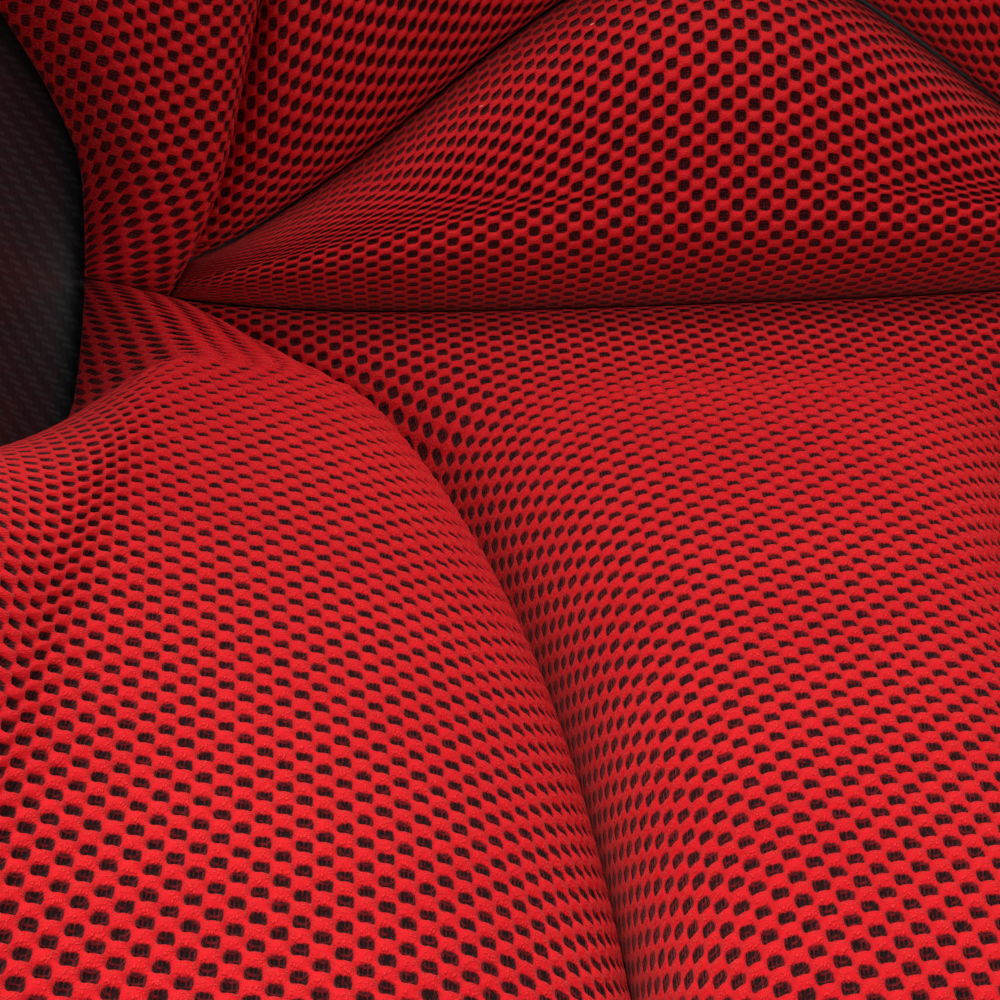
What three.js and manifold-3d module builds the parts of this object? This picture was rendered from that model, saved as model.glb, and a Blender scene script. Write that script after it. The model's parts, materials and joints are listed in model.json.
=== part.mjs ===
// Fixed-back racing bucket seat: a moulded shell with fabric pads, on side brackets and sliding rails.
// Millimetres. X runs across the seat, the occupant faces -Y, +Z is up, and the rails stand on Z = 0.
import * as THREE from "three";
import { mergeVertices } from "three/addons/utils/BufferGeometryUtils.js";
import Module from "manifold-3d";

const wasm = await Module();
wasm.setup();

// ---------------------------------------------------------------- driving dimensions
// Shell side profile: a front lip arc, a flat base, a hip arc, a flat back and a head arc.
const LIP_Y = -339.4;
const LIP_Z = 125;
const LIP_RADIUS = 60;
const LIP_SWEEP = 50;
const BASE_LENGTH = 330;
const BASE_TILT = 9;
const HIP_RADIUS = 95;
const RECLINE = 15;
const BACK_LENGTH = 690;
const HEAD_RADIUS = 600;
const HEAD_SWEEP = 8;
const LEAN_FRONT = 85; // direction in which the wings rise at the thighs, above the horizontal
const LEAN_FROM = 150; // distances along the profile between which that direction turns to the back's own
const LEAN_TO = 800;

// Half widths and wing depths at the named stations along the profile.
const LIP_HALF_WIDTH = 205;
const THIGH_HALF_WIDTH = 236;
const HIP_HALF_WIDTH = 222;
const SHOULDER_HALF_WIDTH = 276;
const HEAD_HALF_WIDTH = 140;
const LIP_DEPTH = 26;
const THIGH_DEPTH = 128;
const HIP_DEPTH = 190;
const SHOULDER_DEPTH = 152;
const HEAD_DEPTH = 34;
const SECTION_POWER = 3.5; // squareness of each cross-section
const CORNER_POWER = 9; // squareness of the shell's outline
const SHELL_ACROSS = 20; // facets of the shell
const SHELL_FACET = 44; // longest facet of the shell along the profile

const WALL = 4;
const GAP = 0.3; // between pieces that touch
const TRIM_LEG = 7;
const TRIM_THICK = 1.8;
const TRIM_GAP = 0.8; // over each face of the wall

// Harness slots.
const SLOT_LENGTH = 72;
const SLOT_WIDTH = 24;
const SLOT_RIM = 6;
const SLOT_LIP = 4; // how far a bezel's flanges reach from each face of the wall
const SHOULDER_SLOT_X = 96;
const SHOULDER_SLOT_RISE = 560; // above the start of the back
const LAP_SLOT_LENGTH = 62;
const LAP_SLOT_ACROSS = 0.74;
const LAP_SLOT_RISE = 16; // above the start of the back

// Pads, by the height of their crown over the rim.
const PAD_GAP = 4.5;
const PAD_RIM = 6;
const PAD_SEAM = 0.006; // half the gap between two pads, as a share of the width across
const CREASE_ACROSS = 0.45; // where all the lobes meet, beside the hip
const FRONT_CREASE_ACROSS = 0.14;
const CREASE_POWER = 4.6; // how late the cushion's crease turns out to the hip
const WING_ACROSS = 0.9;
const HIP_ACROSS = 0.53;
const BACK_TOP_ACROSS = 0.22;
const BACK_CREASE_POWER = 2.2; // how early the back's crease eases inwards
const CREASE_RISE = 18; // of the hip crease over the middle of the hip arc
const CREASE_GAP = 10; // between the cushion and the back lobes
const CUSHION_FRONT = 30;
const BACK_PAD_LENGTH = 470; // above the start of the back
const LUMBAR_START = 12;
const LUMBAR_RISE = 100;
const LUMBAR_ARCH_POWER = 1.25; // how slowly the arch starts at its ends
const LUMBAR_SEAM = 5; // between the lumbar lobe and the back lobe
const SHOULDER_PAD_ACROSS = 0.6;
const SHOULDER_PAD_INSET = 0.02; // from the wing's border
const SHOULDER_PAD_GAP = 8;
const SHOULDER_PAD_LENGTH = 104;
const HEAD_PAD_ACROSS = 0.62;
const HEAD_PAD_RISE = 34; // above the middle of the shoulder slots
const HEAD_PAD_MARGIN = 22; // under the top edge
const CUSHION_CROWN = 48;
const CENTRE_CROWN = 41;
const LUMBAR_CROWN = 40;
const BACK_CROWN = 32;
const BOLSTER_CROWN = 32;
const SHOULDER_CROWN = 22;
const HEAD_CROWN = 30;
const HOOK_THICK = 1.8;
const TAPE_CLEARANCE = 1; // under the pads
const CUSHION_TAPE_ACROSS = 0.12;
const CUSHION_TAPE_FRONT = 110;
const CUSHION_TAPE_LENGTH = 190;
const BACK_TAPE_ACROSS = 0.14;
const BACK_TAPE_RISE = 120;
const BACK_TAPE_LENGTH = 260;

// Rails, brackets and fasteners.
const RAIL_X = 212;
const RAIL_LENGTH = 420;
const RAIL_MIDDLE_Y = -20;
const RAIL_HALF_WIDTH = 20;
const RAIL_SHEET = 2;
const LOWER_RAIL_HEIGHT = 22;
const UPPER_RAIL_CLEARANCE = 4; // over the lower rail's lips
const UPPER_RAIL_PLATE = 4;
const RAIL_LIP_IN = 11; // from the rail's middle to its turned-down lip
const RAIL_LIP_DROP = 8;
const RAIL_WEB_IN = 7.5;
const SLIDER_FOOT_BOTTOM = 6;
const SLIDER_FOOT_CLEARANCE = 3; // under the lower rail's sheet
const SLIDER_CLEARANCE = 2; // beside the lower rail's wall
const CAGE_LENGTH = 220;
const CAGE_STRIP = 1.2;
const BALL_CLEARANCE = 0.15;
const BALL_SHARE = 0.44; // place of each ball, as a share of the cage's length from its middle
const RAIL_BOLT_SPACING = 340;
const FLOOR_HOLE_INSET = 18;
const BRACKET_PLATE = 4;
const BRACKET_TOP = 202;
const FOOT_LENGTH = 60;
const FOOT_INNER = 15; // inboard of the rail's middle
const FOOT_INSET = 6; // of the bent foot from each end of its blank
const ARCH_SLOPE = 26;
const ARCH_TOP = 78;
const BRACKET_CORNER = 12;
const BRACKET_REAR_MARGIN = 30;
const BRACKET_FRONT_MARGIN = 22;
const BRACKET_HOLE_RADIUS = 23;
const BRACKET_HOLE_STEP = 76;
const SHELL_BOLT_FRONT_Y = -220;
const SHELL_BOLT_SPACING = 290;
const SHELL_BOLT_Z = 172;
const BOSS_FACE_CLEARANCE = 6; // outboard of the widest part of the base
const BOSS_RADIUS = 17;
const BOSS_REACH = 70; // from its face in to where the wall cuts it
const INSERT_RADIUS = 7;
const INSERT_LENGTH = 11;
const BOLT_RADIUS = 4;
const WASHER_RADIUS = 9;
const WASHER_THICK = 1.6;

// Rail lock.
const RACK_PITCH = 12;
const RACK_STEPS = 8; // notches each way from the middle one
const RACK_THICK = 3.6;
const RACK_DROP = 3; // under the top of the lower rail
const RACK_BASE = 3;
const NOTCH_WIDTH = 6;
const NOTCH_DEPTH = 7;
const TOOTH_TIP_CLEARANCE = 1;
const TOOTH_TIP_HALF = 1.3;
const TOOTH_ROOT_HALF = 2.2;
const PIVOT_Y = -60;
const PIVOT_RISE = 12; // over the upper rail
const PIN_RADIUS = 3;
const PIN_CLEARANCE = 0.1;
const LATCH_THICK = 3;
const LATCH_REACH = 55; // pivot to tooth
const RELEASE_SWEEP = 10; // of the bar, from locked to lifted
const BAR_RADIUS = 5.5;
const BAR_FRONT_Y = -326;
const BAR_BEND = 34;
const GRIP_LENGTH = 130;
const GRIP_RADIUS = 8;
const SPRING_WIRE = 0.7;
const SPRING_RADIUS = 5.2;
const SPRING_TURNS = 3;
const TAB_THICK = 3;
const SCREW_RADIUS = 3;
const PIVOT_SCREW_X = RAIL_X - 3;

// ---------------------------------------------------------------- finishes
const finish = (color, roughness, metalness) => ({ color, roughness, metalness });
const RED_MESH = finish(0xc8141e, 0.85, 0);
const SHELL_BLACK = finish(0x141416, 0.4, 0);
const BLACK_RUBBER = finish(0x101010, 0.7, 0);
const BLACK_PLASTIC = finish(0x19191b, 0.5, 0);
const BLACK_STEEL = finish(0x232326, 0.45, 0.8);
const ZINC_STEEL = finish(0xb9bcc0, 0.35, 0.9);
const SPRING_STEEL = finish(0x8a8c90, 0.3, 1);
const HOOK_TAPE = finish(0x222224, 0.95, 0);

// ---------------------------------------------------------------- solids
const seat = new THREE.Group();
seat.name = "racing_seat";

function solidOf(geometry) {
  const bare = geometry.clone();
  bare.deleteAttribute("normal");
  bare.deleteAttribute("uv");
  const merged = mergeVertices(bare, 1e-4);
  const mesh = new wasm.Mesh({
    numProp: 3,
    vertProperties: merged.attributes.position.array,
    triVerts: new Uint32Array(merged.index.array),
  });
  return new wasm.Manifold(mesh);
}

function geometryOf(solid) {
  const mesh = solid.getMesh();
  const positions = new Float32Array(mesh.numVert * 3);
  for (let i = 0; i < mesh.numVert; i++) {
    positions.set(mesh.vertProperties.subarray(i * mesh.numProp, i * mesh.numProp + 3), i * 3);
  }
  const indexed = new THREE.BufferGeometry();
  indexed.setAttribute("position", new THREE.BufferAttribute(positions, 3));
  indexed.setIndex(new THREE.BufferAttribute(new Uint32Array(mesh.triVerts), 1));
  const flat = indexed.toNonIndexed();
  flat.computeVertexNormals();
  return flat;
}

function add(name, solid, look) {
  const mesh = new THREE.Mesh(geometryOf(solid), new THREE.MeshStandardMaterial(look));
  mesh.name = name;
  seat.add(mesh);
}

// The left piece is the right one mirrored in the plane X = 0.
function addPair(name, solid, look) {
  add(`${name}_right`, solid, look);
  add(`${name}_left`, solid.mirror([1, 0, 0]), look);
}

// A ring of equal loops: each row of points wraps round, and the last row joins the first.
function ringSolid(rows) {
  const across = rows[0].length;
  const positions = rows.flat().flatMap((p) => [p.x, p.y, p.z]);
  const index = [];
  for (let r = 0; r < rows.length; r++) {
    const here = r * across;
    const next = ((r + 1) % rows.length) * across;
    for (let c = 0; c < across; c++) {
      const d = (c + 1) % across;
      index.push(here + c, here + d, next + d, here + c, next + d, next + c);
    }
  }
  return solidFrom(positions, index);
}

function solidFrom(positions, index) {
  const geometry = new THREE.BufferGeometry();
  geometry.setAttribute("position", new THREE.Float32BufferAttribute(positions, 3));
  geometry.setIndex(index);
  const solid = solidOf(geometry);
  if (solid.volume() > 0) return solid;
  const turned = [];
  for (let i = 0; i < index.length; i += 3) turned.push(index[i], index[i + 2], index[i + 1]);
  geometry.setIndex(turned);
  return solidOf(geometry);
}

// ---------------------------------------------------------------- the shell's surface
const radians = THREE.MathUtils.degToRad;
const clamp = THREE.MathUtils.clamp;
const lerp = THREE.MathUtils.lerp;
const smooth = (x, low, high) => THREE.MathUtils.smoothstep(x, low, high);

// Runs of the side profile: each turns from its first heading by its sweep, or keeps straight.
const HIP_SWEEP = 90 - RECLINE + BASE_TILT;
const PROFILE = [
  { length: LIP_RADIUS * radians(LIP_SWEEP), from: LIP_SWEEP - BASE_TILT, turn: -LIP_SWEEP },
  { length: BASE_LENGTH, from: -BASE_TILT, turn: 0 },
  { length: HIP_RADIUS * radians(HIP_SWEEP), from: -BASE_TILT, turn: HIP_SWEEP },
  { length: BACK_LENGTH, from: 90 - RECLINE, turn: 0 },
  { length: HEAD_RADIUS * radians(HEAD_SWEEP), from: 90 - RECLINE, turn: HEAD_SWEEP },
];
const BASE_START = PROFILE[0].length;
const HIP_START = BASE_START + PROFILE[1].length;
const BACK_START = HIP_START + PROFILE[2].length;
const HEAD_START = BACK_START + PROFILE[3].length;
const PROFILE_LENGTH = HEAD_START + PROFILE[4].length;
const HIP_CREASE = (HIP_START + BACK_START) / 2 + CREASE_RISE;

// The point of the side profile at a distance along it, as [y, z].
function profileAt(distance) {
  let y = LIP_Y;
  let z = LIP_Z;
  let left = clamp(distance, 0, PROFILE_LENGTH);
  for (const run of PROFILE) {
    const part = Math.min(left, run.length);
    const start = radians(run.from);
    const angle = radians(run.turn) * (part / run.length);
    const chord = run.turn === 0 ? part : (part * Math.sin(angle / 2)) / (angle / 2 || 1);
    const straight = part > 0 ? chord : 0;
    y += straight * Math.cos(start + angle / 2);
    z += straight * Math.sin(start + angle / 2);
    left -= part;
  }
  return [y, z];
}

// Half width and wing depth along the profile, as smooth curves through the stations.
const STATIONS = [
  [0, LIP_HALF_WIDTH, LIP_DEPTH],
  [BASE_START + 20, THIGH_HALF_WIDTH - 4, THIGH_DEPTH - 48],
  [BASE_START + BASE_LENGTH / 2, THIGH_HALF_WIDTH, THIGH_DEPTH],
  [HIP_START, (THIGH_HALF_WIDTH + HIP_HALF_WIDTH) / 2, HIP_DEPTH - 20],
  [BACK_START, HIP_HALF_WIDTH, HIP_DEPTH],
  [BACK_START + 180, HIP_HALF_WIDTH + 10, HIP_DEPTH - 14],
  [BACK_START + 370, SHOULDER_HALF_WIDTH - 14, SHOULDER_DEPTH + 8],
  [BACK_START + 480, SHOULDER_HALF_WIDTH, SHOULDER_DEPTH],
  [BACK_START + 585, (SHOULDER_HALF_WIDTH + HEAD_HALF_WIDTH) / 2, SHOULDER_DEPTH - 62],
  [HEAD_START - 10, HEAD_HALF_WIDTH + 6, HEAD_DEPTH + 6],
  [PROFILE_LENGTH, HEAD_HALF_WIDTH, HEAD_DEPTH - 20],
];

// A cubic Hermite curve through the stations' values, with each slope taken from its neighbours.
function stationValue(distance, column) {
  let i = 0;
  while (i < STATIONS.length - 2 && distance > STATIONS[i + 1][0]) i++;
  const slope = (k) => {
    const a = STATIONS[Math.max(k - 1, 0)];
    const b = STATIONS[Math.min(k + 1, STATIONS.length - 1)];
    return (b[column] - a[column]) / (b[0] - a[0]);
  };
  const span = STATIONS[i + 1][0] - STATIONS[i][0];
  const t = clamp((distance - STATIONS[i][0]) / span, 0, 1);
  const rise = t * t * (3 - 2 * t);
  const startPull = slope(i) * span * t * (1 - t) * (1 - t);
  const endPull = slope(i + 1) * span * t * t * (t - 1);
  return lerp(STATIONS[i][column], STATIONS[i + 1][column], rise) + startPull + endPull;
}

// A point of the shell's inner face: across is -1 to 1 from wing to wing, distance runs up the profile.
function facePoint(across, distance) {
  const [y, z] = profileAt(distance);
  const halfWidth = stationValue(distance, 1);
  const depth = stationValue(distance, 2);
  const lean = lerp(LEAN_FRONT, 180 - RECLINE, smooth(distance, LEAN_FROM, LEAN_TO));
  const angle = (across * Math.PI) / 2;
  const s = Math.sin(angle);
  const c = Math.cos(angle);
  const sum = Math.abs(s) ** SECTION_POWER + Math.abs(c) ** SECTION_POWER;
  const reach = sum ** (-1 / SECTION_POWER);
  const rise = depth * (1 - reach * c);
  return new THREE.Vector3(
    halfWidth * reach * s,
    y + rise * Math.cos(radians(lean)),
    z + rise * Math.sin(radians(lean)),
  );
}

// The unit normal of the inner face, towards the occupant.
function faceNormal(across, distance) {
  const low = clamp(distance, 1, PROFILE_LENGTH - 1);
  const side = clamp(across, -0.998, 0.998);
  const u = facePoint(side + 0.002, low).sub(facePoint(side - 0.002, low));
  const v = facePoint(side, low + 1).sub(facePoint(side, low - 1));
  return u.cross(v).normalize();
}

const raised = (across, distance, height) =>
  facePoint(across, distance).addScaledVector(faceNormal(across, distance), height);

// The share across at which the inner face reaches a given X.
function acrossAt(x, distance) {
  let low = 0;
  let high = 1;
  for (let i = 0; i < 30; i++) {
    const middle = (low + high) / 2;
    if (facePoint(middle, distance).x < Math.abs(x)) low = middle;
    else high = middle;
  }
  return Math.sign(x) * low;
}

// A slab that lies on the inner face: place(s, t) gives [across, distance], and bottom(s, t) and
// top(s, t) give the heights of its two faces.
function slab(place, bottom, top, across, along) {
  const level = (height) => {
    const points = [];
    for (let j = 0; j <= along; j++) {
      for (let i = 0; i <= across; i++) {
        const [a, d] = place(i / across, j / along);
        points.push(raised(a, d, height(i / across, j / along)));
      }
    }
    return points;
  };
  const points = [...level(bottom), ...level(top)];
  const width = across + 1;
  const lift = width * (along + 1);
  const index = [];
  for (let j = 0; j < along; j++) {
    for (let i = 0; i < across; i++) {
      const a = j * width + i;
      const b = a + 1;
      const c = a + width + 1;
      const d = a + width;
      // The diagonals mirror about the middle column, so that the two halves match.
      const faces = 2 * i < across ? [a, b, c, a, c, d] : [a, b, d, b, c, d];
      for (let k = 0; k < 6; k += 3) {
        index.push(faces[k], faces[k + 2], faces[k + 1]);
        index.push(faces[k] + lift, faces[k + 1] + lift, faces[k + 2] + lift);
      }
    }
  }
  const wall = (a, b) => index.push(a, b, b + lift, a, b + lift, a + lift);
  for (let i = 0; i < across; i++) {
    wall(i, i + 1);
    wall(along * width + i + 1, along * width + i);
  }
  for (let j = 0; j < along; j++) {
    wall((j + 1) * width, j * width);
    wall(j * width + across, (j + 1) * width + across);
  }
  return solidFrom(points.flatMap((p) => [p.x, p.y, p.z]), index);
}

const rectangle = (a0, a1, d0, d1) => (s, t) => [lerp(a0, a1, s), lerp(d0, d1, t)];
const flat = (height) => () => height;

// ---------------------------------------------------------------- plain shapes
function extrude(shape, depth, segments = 5) {
  return new THREE.ExtrudeGeometry(shape, { depth, bevelEnabled: false, curveSegments: segments });
}

// An outline drawn in Y (first) and Z (second), extruded along +X from x.
function extrudeAlongX(shape, x, thick, segments) {
  const geometry = extrude(shape, thick, segments);
  const turn = new THREE.Matrix4().makeBasis(
    new THREE.Vector3(0, 1, 0), new THREE.Vector3(0, 0, 1), new THREE.Vector3(1, 0, 0),
  );
  geometry.applyMatrix4(turn);
  geometry.translate(x, 0, 0);
  return solidOf(geometry);
}

// An outline drawn in X (first) and Z (second), extruded along Y between two stations.
function extrudeAlongY(shape, y0, y1) {
  const geometry = extrude(shape, y1 - y0);
  geometry.rotateX(Math.PI / 2);
  geometry.translate(0, y1, 0);
  return solidOf(geometry);
}

function cylinder(radius, length, axis, centre, sides = 16) {
  const geometry = new THREE.CylinderGeometry(radius, radius, length, sides);
  if (axis === "x") geometry.rotateZ(Math.PI / 2);
  if (axis === "z") geometry.rotateX(Math.PI / 2);
  geometry.translate(...centre);
  return solidOf(geometry);
}

function box(low, high) {
  const size = high.map((value, i) => value - low[i]);
  const geometry = new THREE.BoxGeometry(...size);
  geometry.translate(...low.map((value, i) => value + size[i] / 2));
  return solidOf(geometry);
}

function outline(points) {
  return new THREE.Shape(points.map(([x, y]) => new THREE.Vector2(x, y)));
}

// A polygon whose corners are rounded by a curve that starts and ends a set distance from each corner.
function roundedOutline(points, radius) {
  const shape = new THREE.Shape();
  points.forEach(([x, y], i) => {
    const corner = new THREE.Vector2(x, y);
    const before = new THREE.Vector2(...points[(i + points.length - 1) % points.length]);
    const after = new THREE.Vector2(...points[(i + 1) % points.length]);
    const enter = corner.clone().add(before.sub(corner).setLength(radius));
    const leave = corner.clone().add(after.sub(corner).setLength(radius));
    if (i === 0) shape.moveTo(enter.x, enter.y);
    else shape.lineTo(enter.x, enter.y);
    shape.quadraticCurveTo(x, y, leave.x, leave.y);
  });
  shape.closePath();
  return shape;
}

function stadium(length, width) {
  const half = (length - width) / 2;
  const shape = new THREE.Shape();
  shape.absarc(half, 0, width / 2, -Math.PI / 2, Math.PI / 2, false);
  shape.absarc(-half, 0, width / 2, Math.PI / 2, Math.PI * 1.5, false);
  shape.closePath();
  return shape;
}

// ---------------------------------------------------------------- shell and edge trim
// Rounds the square (s, t) domain to a superellipse, so that the shell's outline has round corners.
function roundedPlace(s, t) {
  const x = 2 * s - 1;
  const y = 2 * t - 1;
  const ring = Math.max(Math.abs(x), Math.abs(y));
  if (ring === 0) return [0, PROFILE_LENGTH / 2];
  const sum = (Math.abs(x) / ring) ** CORNER_POWER + (Math.abs(y) / ring) ** CORNER_POWER;
  const norm = sum ** (1 / CORNER_POWER);
  const pull = lerp(1, 1 / norm, ring ** 4);
  return [x * pull, (PROFILE_LENGTH * (1 + y * pull)) / 2];
}

const bossFace = THIGH_HALF_WIDTH + WALL + BOSS_FACE_CLEARANCE;
const shellBoltRearY = SHELL_BOLT_FRONT_Y + SHELL_BOLT_SPACING;
const shellBolts = { front: SHELL_BOLT_FRONT_Y, rear: shellBoltRearY };

// The harness slots: a place on the inner face, the slot's own length and whether it runs up the profile.
const shoulderSlotAt = BACK_START + SHOULDER_SLOT_RISE;
const SLOTS = {
  shoulder: {
    across: acrossAt(SHOULDER_SLOT_X, shoulderSlotAt),
    distance: shoulderSlotAt,
    length: SLOT_LENGTH,
    upright: false,
  },
  lap: {
    across: LAP_SLOT_ACROSS,
    distance: BACK_START + LAP_SLOT_RISE,
    length: LAP_SLOT_LENGTH,
    upright: true,
  },
};

// A prism of the slot's outline, grown by a margin, that stands on the inner face at the slot.
function slotPrism(slot, margin) {
  const shape = stadium(slot.length + 2 * margin, SLOT_WIDTH + 2 * margin);
  const geometry = extrude(shape, 80, 4);
  geometry.translate(0, 0, -40);
  const normal = faceNormal(slot.across, slot.distance);
  const up = facePoint(slot.across, slot.distance + 1).sub(facePoint(slot.across, slot.distance - 1));
  up.addScaledVector(normal, -up.dot(normal)).normalize();
  const side = up.clone().cross(normal);
  const [first, second] = slot.upright ? [up, side.negate()] : [side, up];
  const frame = new THREE.Matrix4().makeBasis(first, second, normal);
  frame.setPosition(facePoint(slot.across, slot.distance));
  geometry.applyMatrix4(frame);
  return solidOf(geometry);
}

function aroundSlot(slot, bottom, top) {
  const reach = slot.length;
  const span = reach / (stationValue(slot.distance, 1) + stationValue(slot.distance, 2));
  const far = Math.min(slot.across + span, 1);
  const place = rectangle(slot.across - span, far, slot.distance - reach, slot.distance + reach);
  return slab(place, flat(bottom), flat(top), 4, 4);
}

// The wall with the running gap on both faces, which the pieces that clip over it are cut by.
const SHELL_ALONG = Math.ceil(PROFILE_LENGTH / SHELL_FACET);
const roomForShell = slab(roundedPlace, flat(-WALL - GAP), flat(GAP), SHELL_ACROSS, SHELL_ALONG);

function makeShell() {
  let shell = slab(roundedPlace, flat(-WALL), flat(0), SHELL_ACROSS, SHELL_ALONG);
  for (const y of Object.values(shellBolts)) {
    const inner = bossFace - BOSS_REACH;
    const place = rectangle(0.25, 0.98, BASE_START / 2, BACK_START + 4 * BOSS_RADIUS);
    const hollow = slab(place, flat(-WALL / 4), flat(BOSS_REACH), 8, 10);
    const boss = cylinder(BOSS_RADIUS, bossFace - inner, "x", [(bossFace + inner) / 2, y, SHELL_BOLT_Z], 20);
    const socket = cylinder(
      INSERT_RADIUS + GAP, INSERT_LENGTH + 1, "x", [bossFace - (INSERT_LENGTH + 1) / 2, y, SHELL_BOLT_Z],
    );
    const outer = boss.subtract(hollow);
    const rightmost = (a, b) => (a.boundingBox().max[0] > b.boundingBox().max[0] ? a : b);
    const kept = outer.decompose().reduce(rightmost);
    shell = shell.add(kept).add(kept.mirror([1, 0, 0])).subtract(socket).subtract(socket.mirror([1, 0, 0]));
  }
  for (const slot of Object.values(SLOTS)) {
    const cut = slotPrism(slot, 0);
    shell = shell.subtract(cut).subtract(cut.mirror([1, 0, 0]));
  }
  return shell;
}

// The push-on trim: a U section along the whole edge of the shell, laid out from the shell's own grid.
function makeEdgeTrim() {
  const corner = (i, j, height) => {
    const [a, d] = roundedPlace(i / SHELL_ACROSS, j / SHELL_ALONG);
    return raised(a, d, height);
  };
  const loop = [];
  for (let i = 0; i < SHELL_ACROSS; i++) loop.push([i, 0]);
  for (let j = 0; j < SHELL_ALONG; j++) loop.push([SHELL_ACROSS, j]);
  for (let i = SHELL_ACROSS; i > 0; i--) loop.push([i, SHELL_ALONG]);
  for (let j = SHELL_ALONG; j > 0; j--) loop.push([0, j]);
  const rows = loop.map(([i, j]) => {
    const inner = corner(i, j, 0);
    const outer = corner(i, j, -WALL);
    const k = clamp(i, 1, SHELL_ACROSS - 1);
    const l = clamp(j, 1, SHELL_ALONG - 1);
    const inwards = corner(k, l, 0).sub(inner).normalize();
    const inwardsOuter = corner(k, l, -WALL).sub(outer).normalize();
    const up = inner.clone().sub(outer).normalize();
    const at = (base, along, inset, height) =>
      base.clone().addScaledVector(along, inset).addScaledVector(up, height);
    const far = TRIM_GAP + TRIM_THICK;
    return [
      at(inner, inwards, TRIM_LEG, TRIM_GAP),
      at(inner, inwards, -GAP, TRIM_GAP),
      at(outer, inwardsOuter, -GAP, -TRIM_GAP),
      at(outer, inwardsOuter, TRIM_LEG, -TRIM_GAP),
      at(outer, inwardsOuter, TRIM_LEG, -far),
      at(outer, inwardsOuter, -far, -GAP),
      at(inner, inwards, -far, GAP),
      at(inner, inwards, TRIM_LEG, far),
    ];
  });
  return ringSolid(rows).subtract(roomForShell);
}

// A bezel that lines a slot through the wall, with a flange on each face of the shell.
function makeSlotTrim(slot) {
  const wall = roomForShell.subtract(slotPrism(slot, -2 * GAP));
  return aroundSlot(slot, -WALL - SLOT_LIP, SLOT_LIP)
    .intersect(slotPrism(slot, SLOT_RIM))
    .subtract(wall)
    .subtract(slotPrism(slot, -2.5));
}

add("shell", makeShell(), SHELL_BLACK);
add("edge_trim", makeEdgeTrim(), BLACK_RUBBER);
addPair("shoulder_slot_trim", makeSlotTrim(SLOTS.shoulder), BLACK_PLASTIC);
addPair("lap_slot_trim", makeSlotTrim(SLOTS.lap), BLACK_PLASTIC);

// ---------------------------------------------------------------- pads
const CUSHION_REAR = HIP_CREASE - CREASE_GAP / 2;
const BACK_LOW = HIP_CREASE + CREASE_GAP / 2;
const BACK_TOP = BACK_START + BACK_PAD_LENGTH;

const crown = (s, t) => ((1 - (2 * s - 1) ** 4) * (1 - (2 * t - 1) ** 4)) ** 0.5;

function pad(place, height, across = 8, along = 10) {
  const top = (s, t) => PAD_GAP + PAD_RIM + height * crown(s, t);
  return slab(place, flat(PAD_GAP), top, across, along);
}

// Between a left and a right border, both given as functions of the share along.
const between = (left, right, d0, d1) => (s, t) => [lerp(left(t), right(t), s), lerp(d0, d1, t)];

const cushionCrease = (t) => lerp(FRONT_CREASE_ACROSS, CREASE_ACROSS, t ** CREASE_POWER);
const cushionWing = (t) => lerp(WING_ACROSS, HIP_ACROSS, smooth(t, 0.45, 0.9));
const backCrease = (t) =>
  lerp(CREASE_ACROSS, BACK_TOP_ACROSS, 1 - (1 - clamp(t, 0, 1)) ** BACK_CREASE_POWER);
const backWing = (t) => lerp(HIP_ACROSS, WING_ACROSS, smooth(t, 0.06, 0.42));
const backShare = (distance) => (distance - BACK_LOW) / (BACK_TOP - BACK_LOW);
const lumbarTop = (s) =>
  BACK_LOW + LUMBAR_START + LUMBAR_RISE * (1 - (2 * s - 1) ** 2) ** LUMBAR_ARCH_POWER;

const cushionSide = between(
  (t) => cushionCrease(t) + PAD_SEAM, cushionWing, CUSHION_FRONT, CUSHION_REAR,
);
const cushionCentre = between(
  (t) => -cushionCrease(t) + PAD_SEAM, (t) => cushionCrease(t) - PAD_SEAM, CUSHION_FRONT, CUSHION_REAR,
);
const bolster = between((t) => backCrease(t) + PAD_SEAM, backWing, BACK_LOW, BACK_TOP);

// The lumbar and back lobes lie between the two bolsters and meet along an arch.
const betweenBolsters = (s, distance) => {
  const half = backCrease(backShare(distance)) - PAD_SEAM;
  return [lerp(-half, half, s), distance];
};
const lumbar = (s, t) => betweenBolsters(s, lerp(BACK_LOW, lumbarTop(s), t));
const back = (s, t) => betweenBolsters(s, lerp(lumbarTop(s) + LUMBAR_SEAM, BACK_TOP, t));

addPair("cushion_lobe", pad(cushionSide, CUSHION_CROWN), RED_MESH);
add("cushion_lobe_centre", pad(cushionCentre, CENTRE_CROWN), RED_MESH);
add("lumbar_lobe", pad(lumbar, LUMBAR_CROWN, 12, 6), RED_MESH);
add("back_lobe", pad(back, BACK_CROWN, 12, 10), RED_MESH);
addPair("back_bolster", pad(bolster, BOLSTER_CROWN), RED_MESH);

const shoulderPadLow = BACK_TOP + SHOULDER_PAD_GAP;
const shoulderPad = rectangle(
  SHOULDER_PAD_ACROSS, WING_ACROSS - SHOULDER_PAD_INSET, shoulderPadLow, shoulderPadLow + SHOULDER_PAD_LENGTH,
);
const headPad = rectangle(
  -HEAD_PAD_ACROSS, HEAD_PAD_ACROSS, shoulderSlotAt + HEAD_PAD_RISE, PROFILE_LENGTH - HEAD_PAD_MARGIN,
);
addPair("shoulder_pad", pad(shoulderPad, SHOULDER_CROWN, 6, 6), RED_MESH);
add("head_pad", pad(headPad, HEAD_CROWN, 10, 6), RED_MESH);

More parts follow.
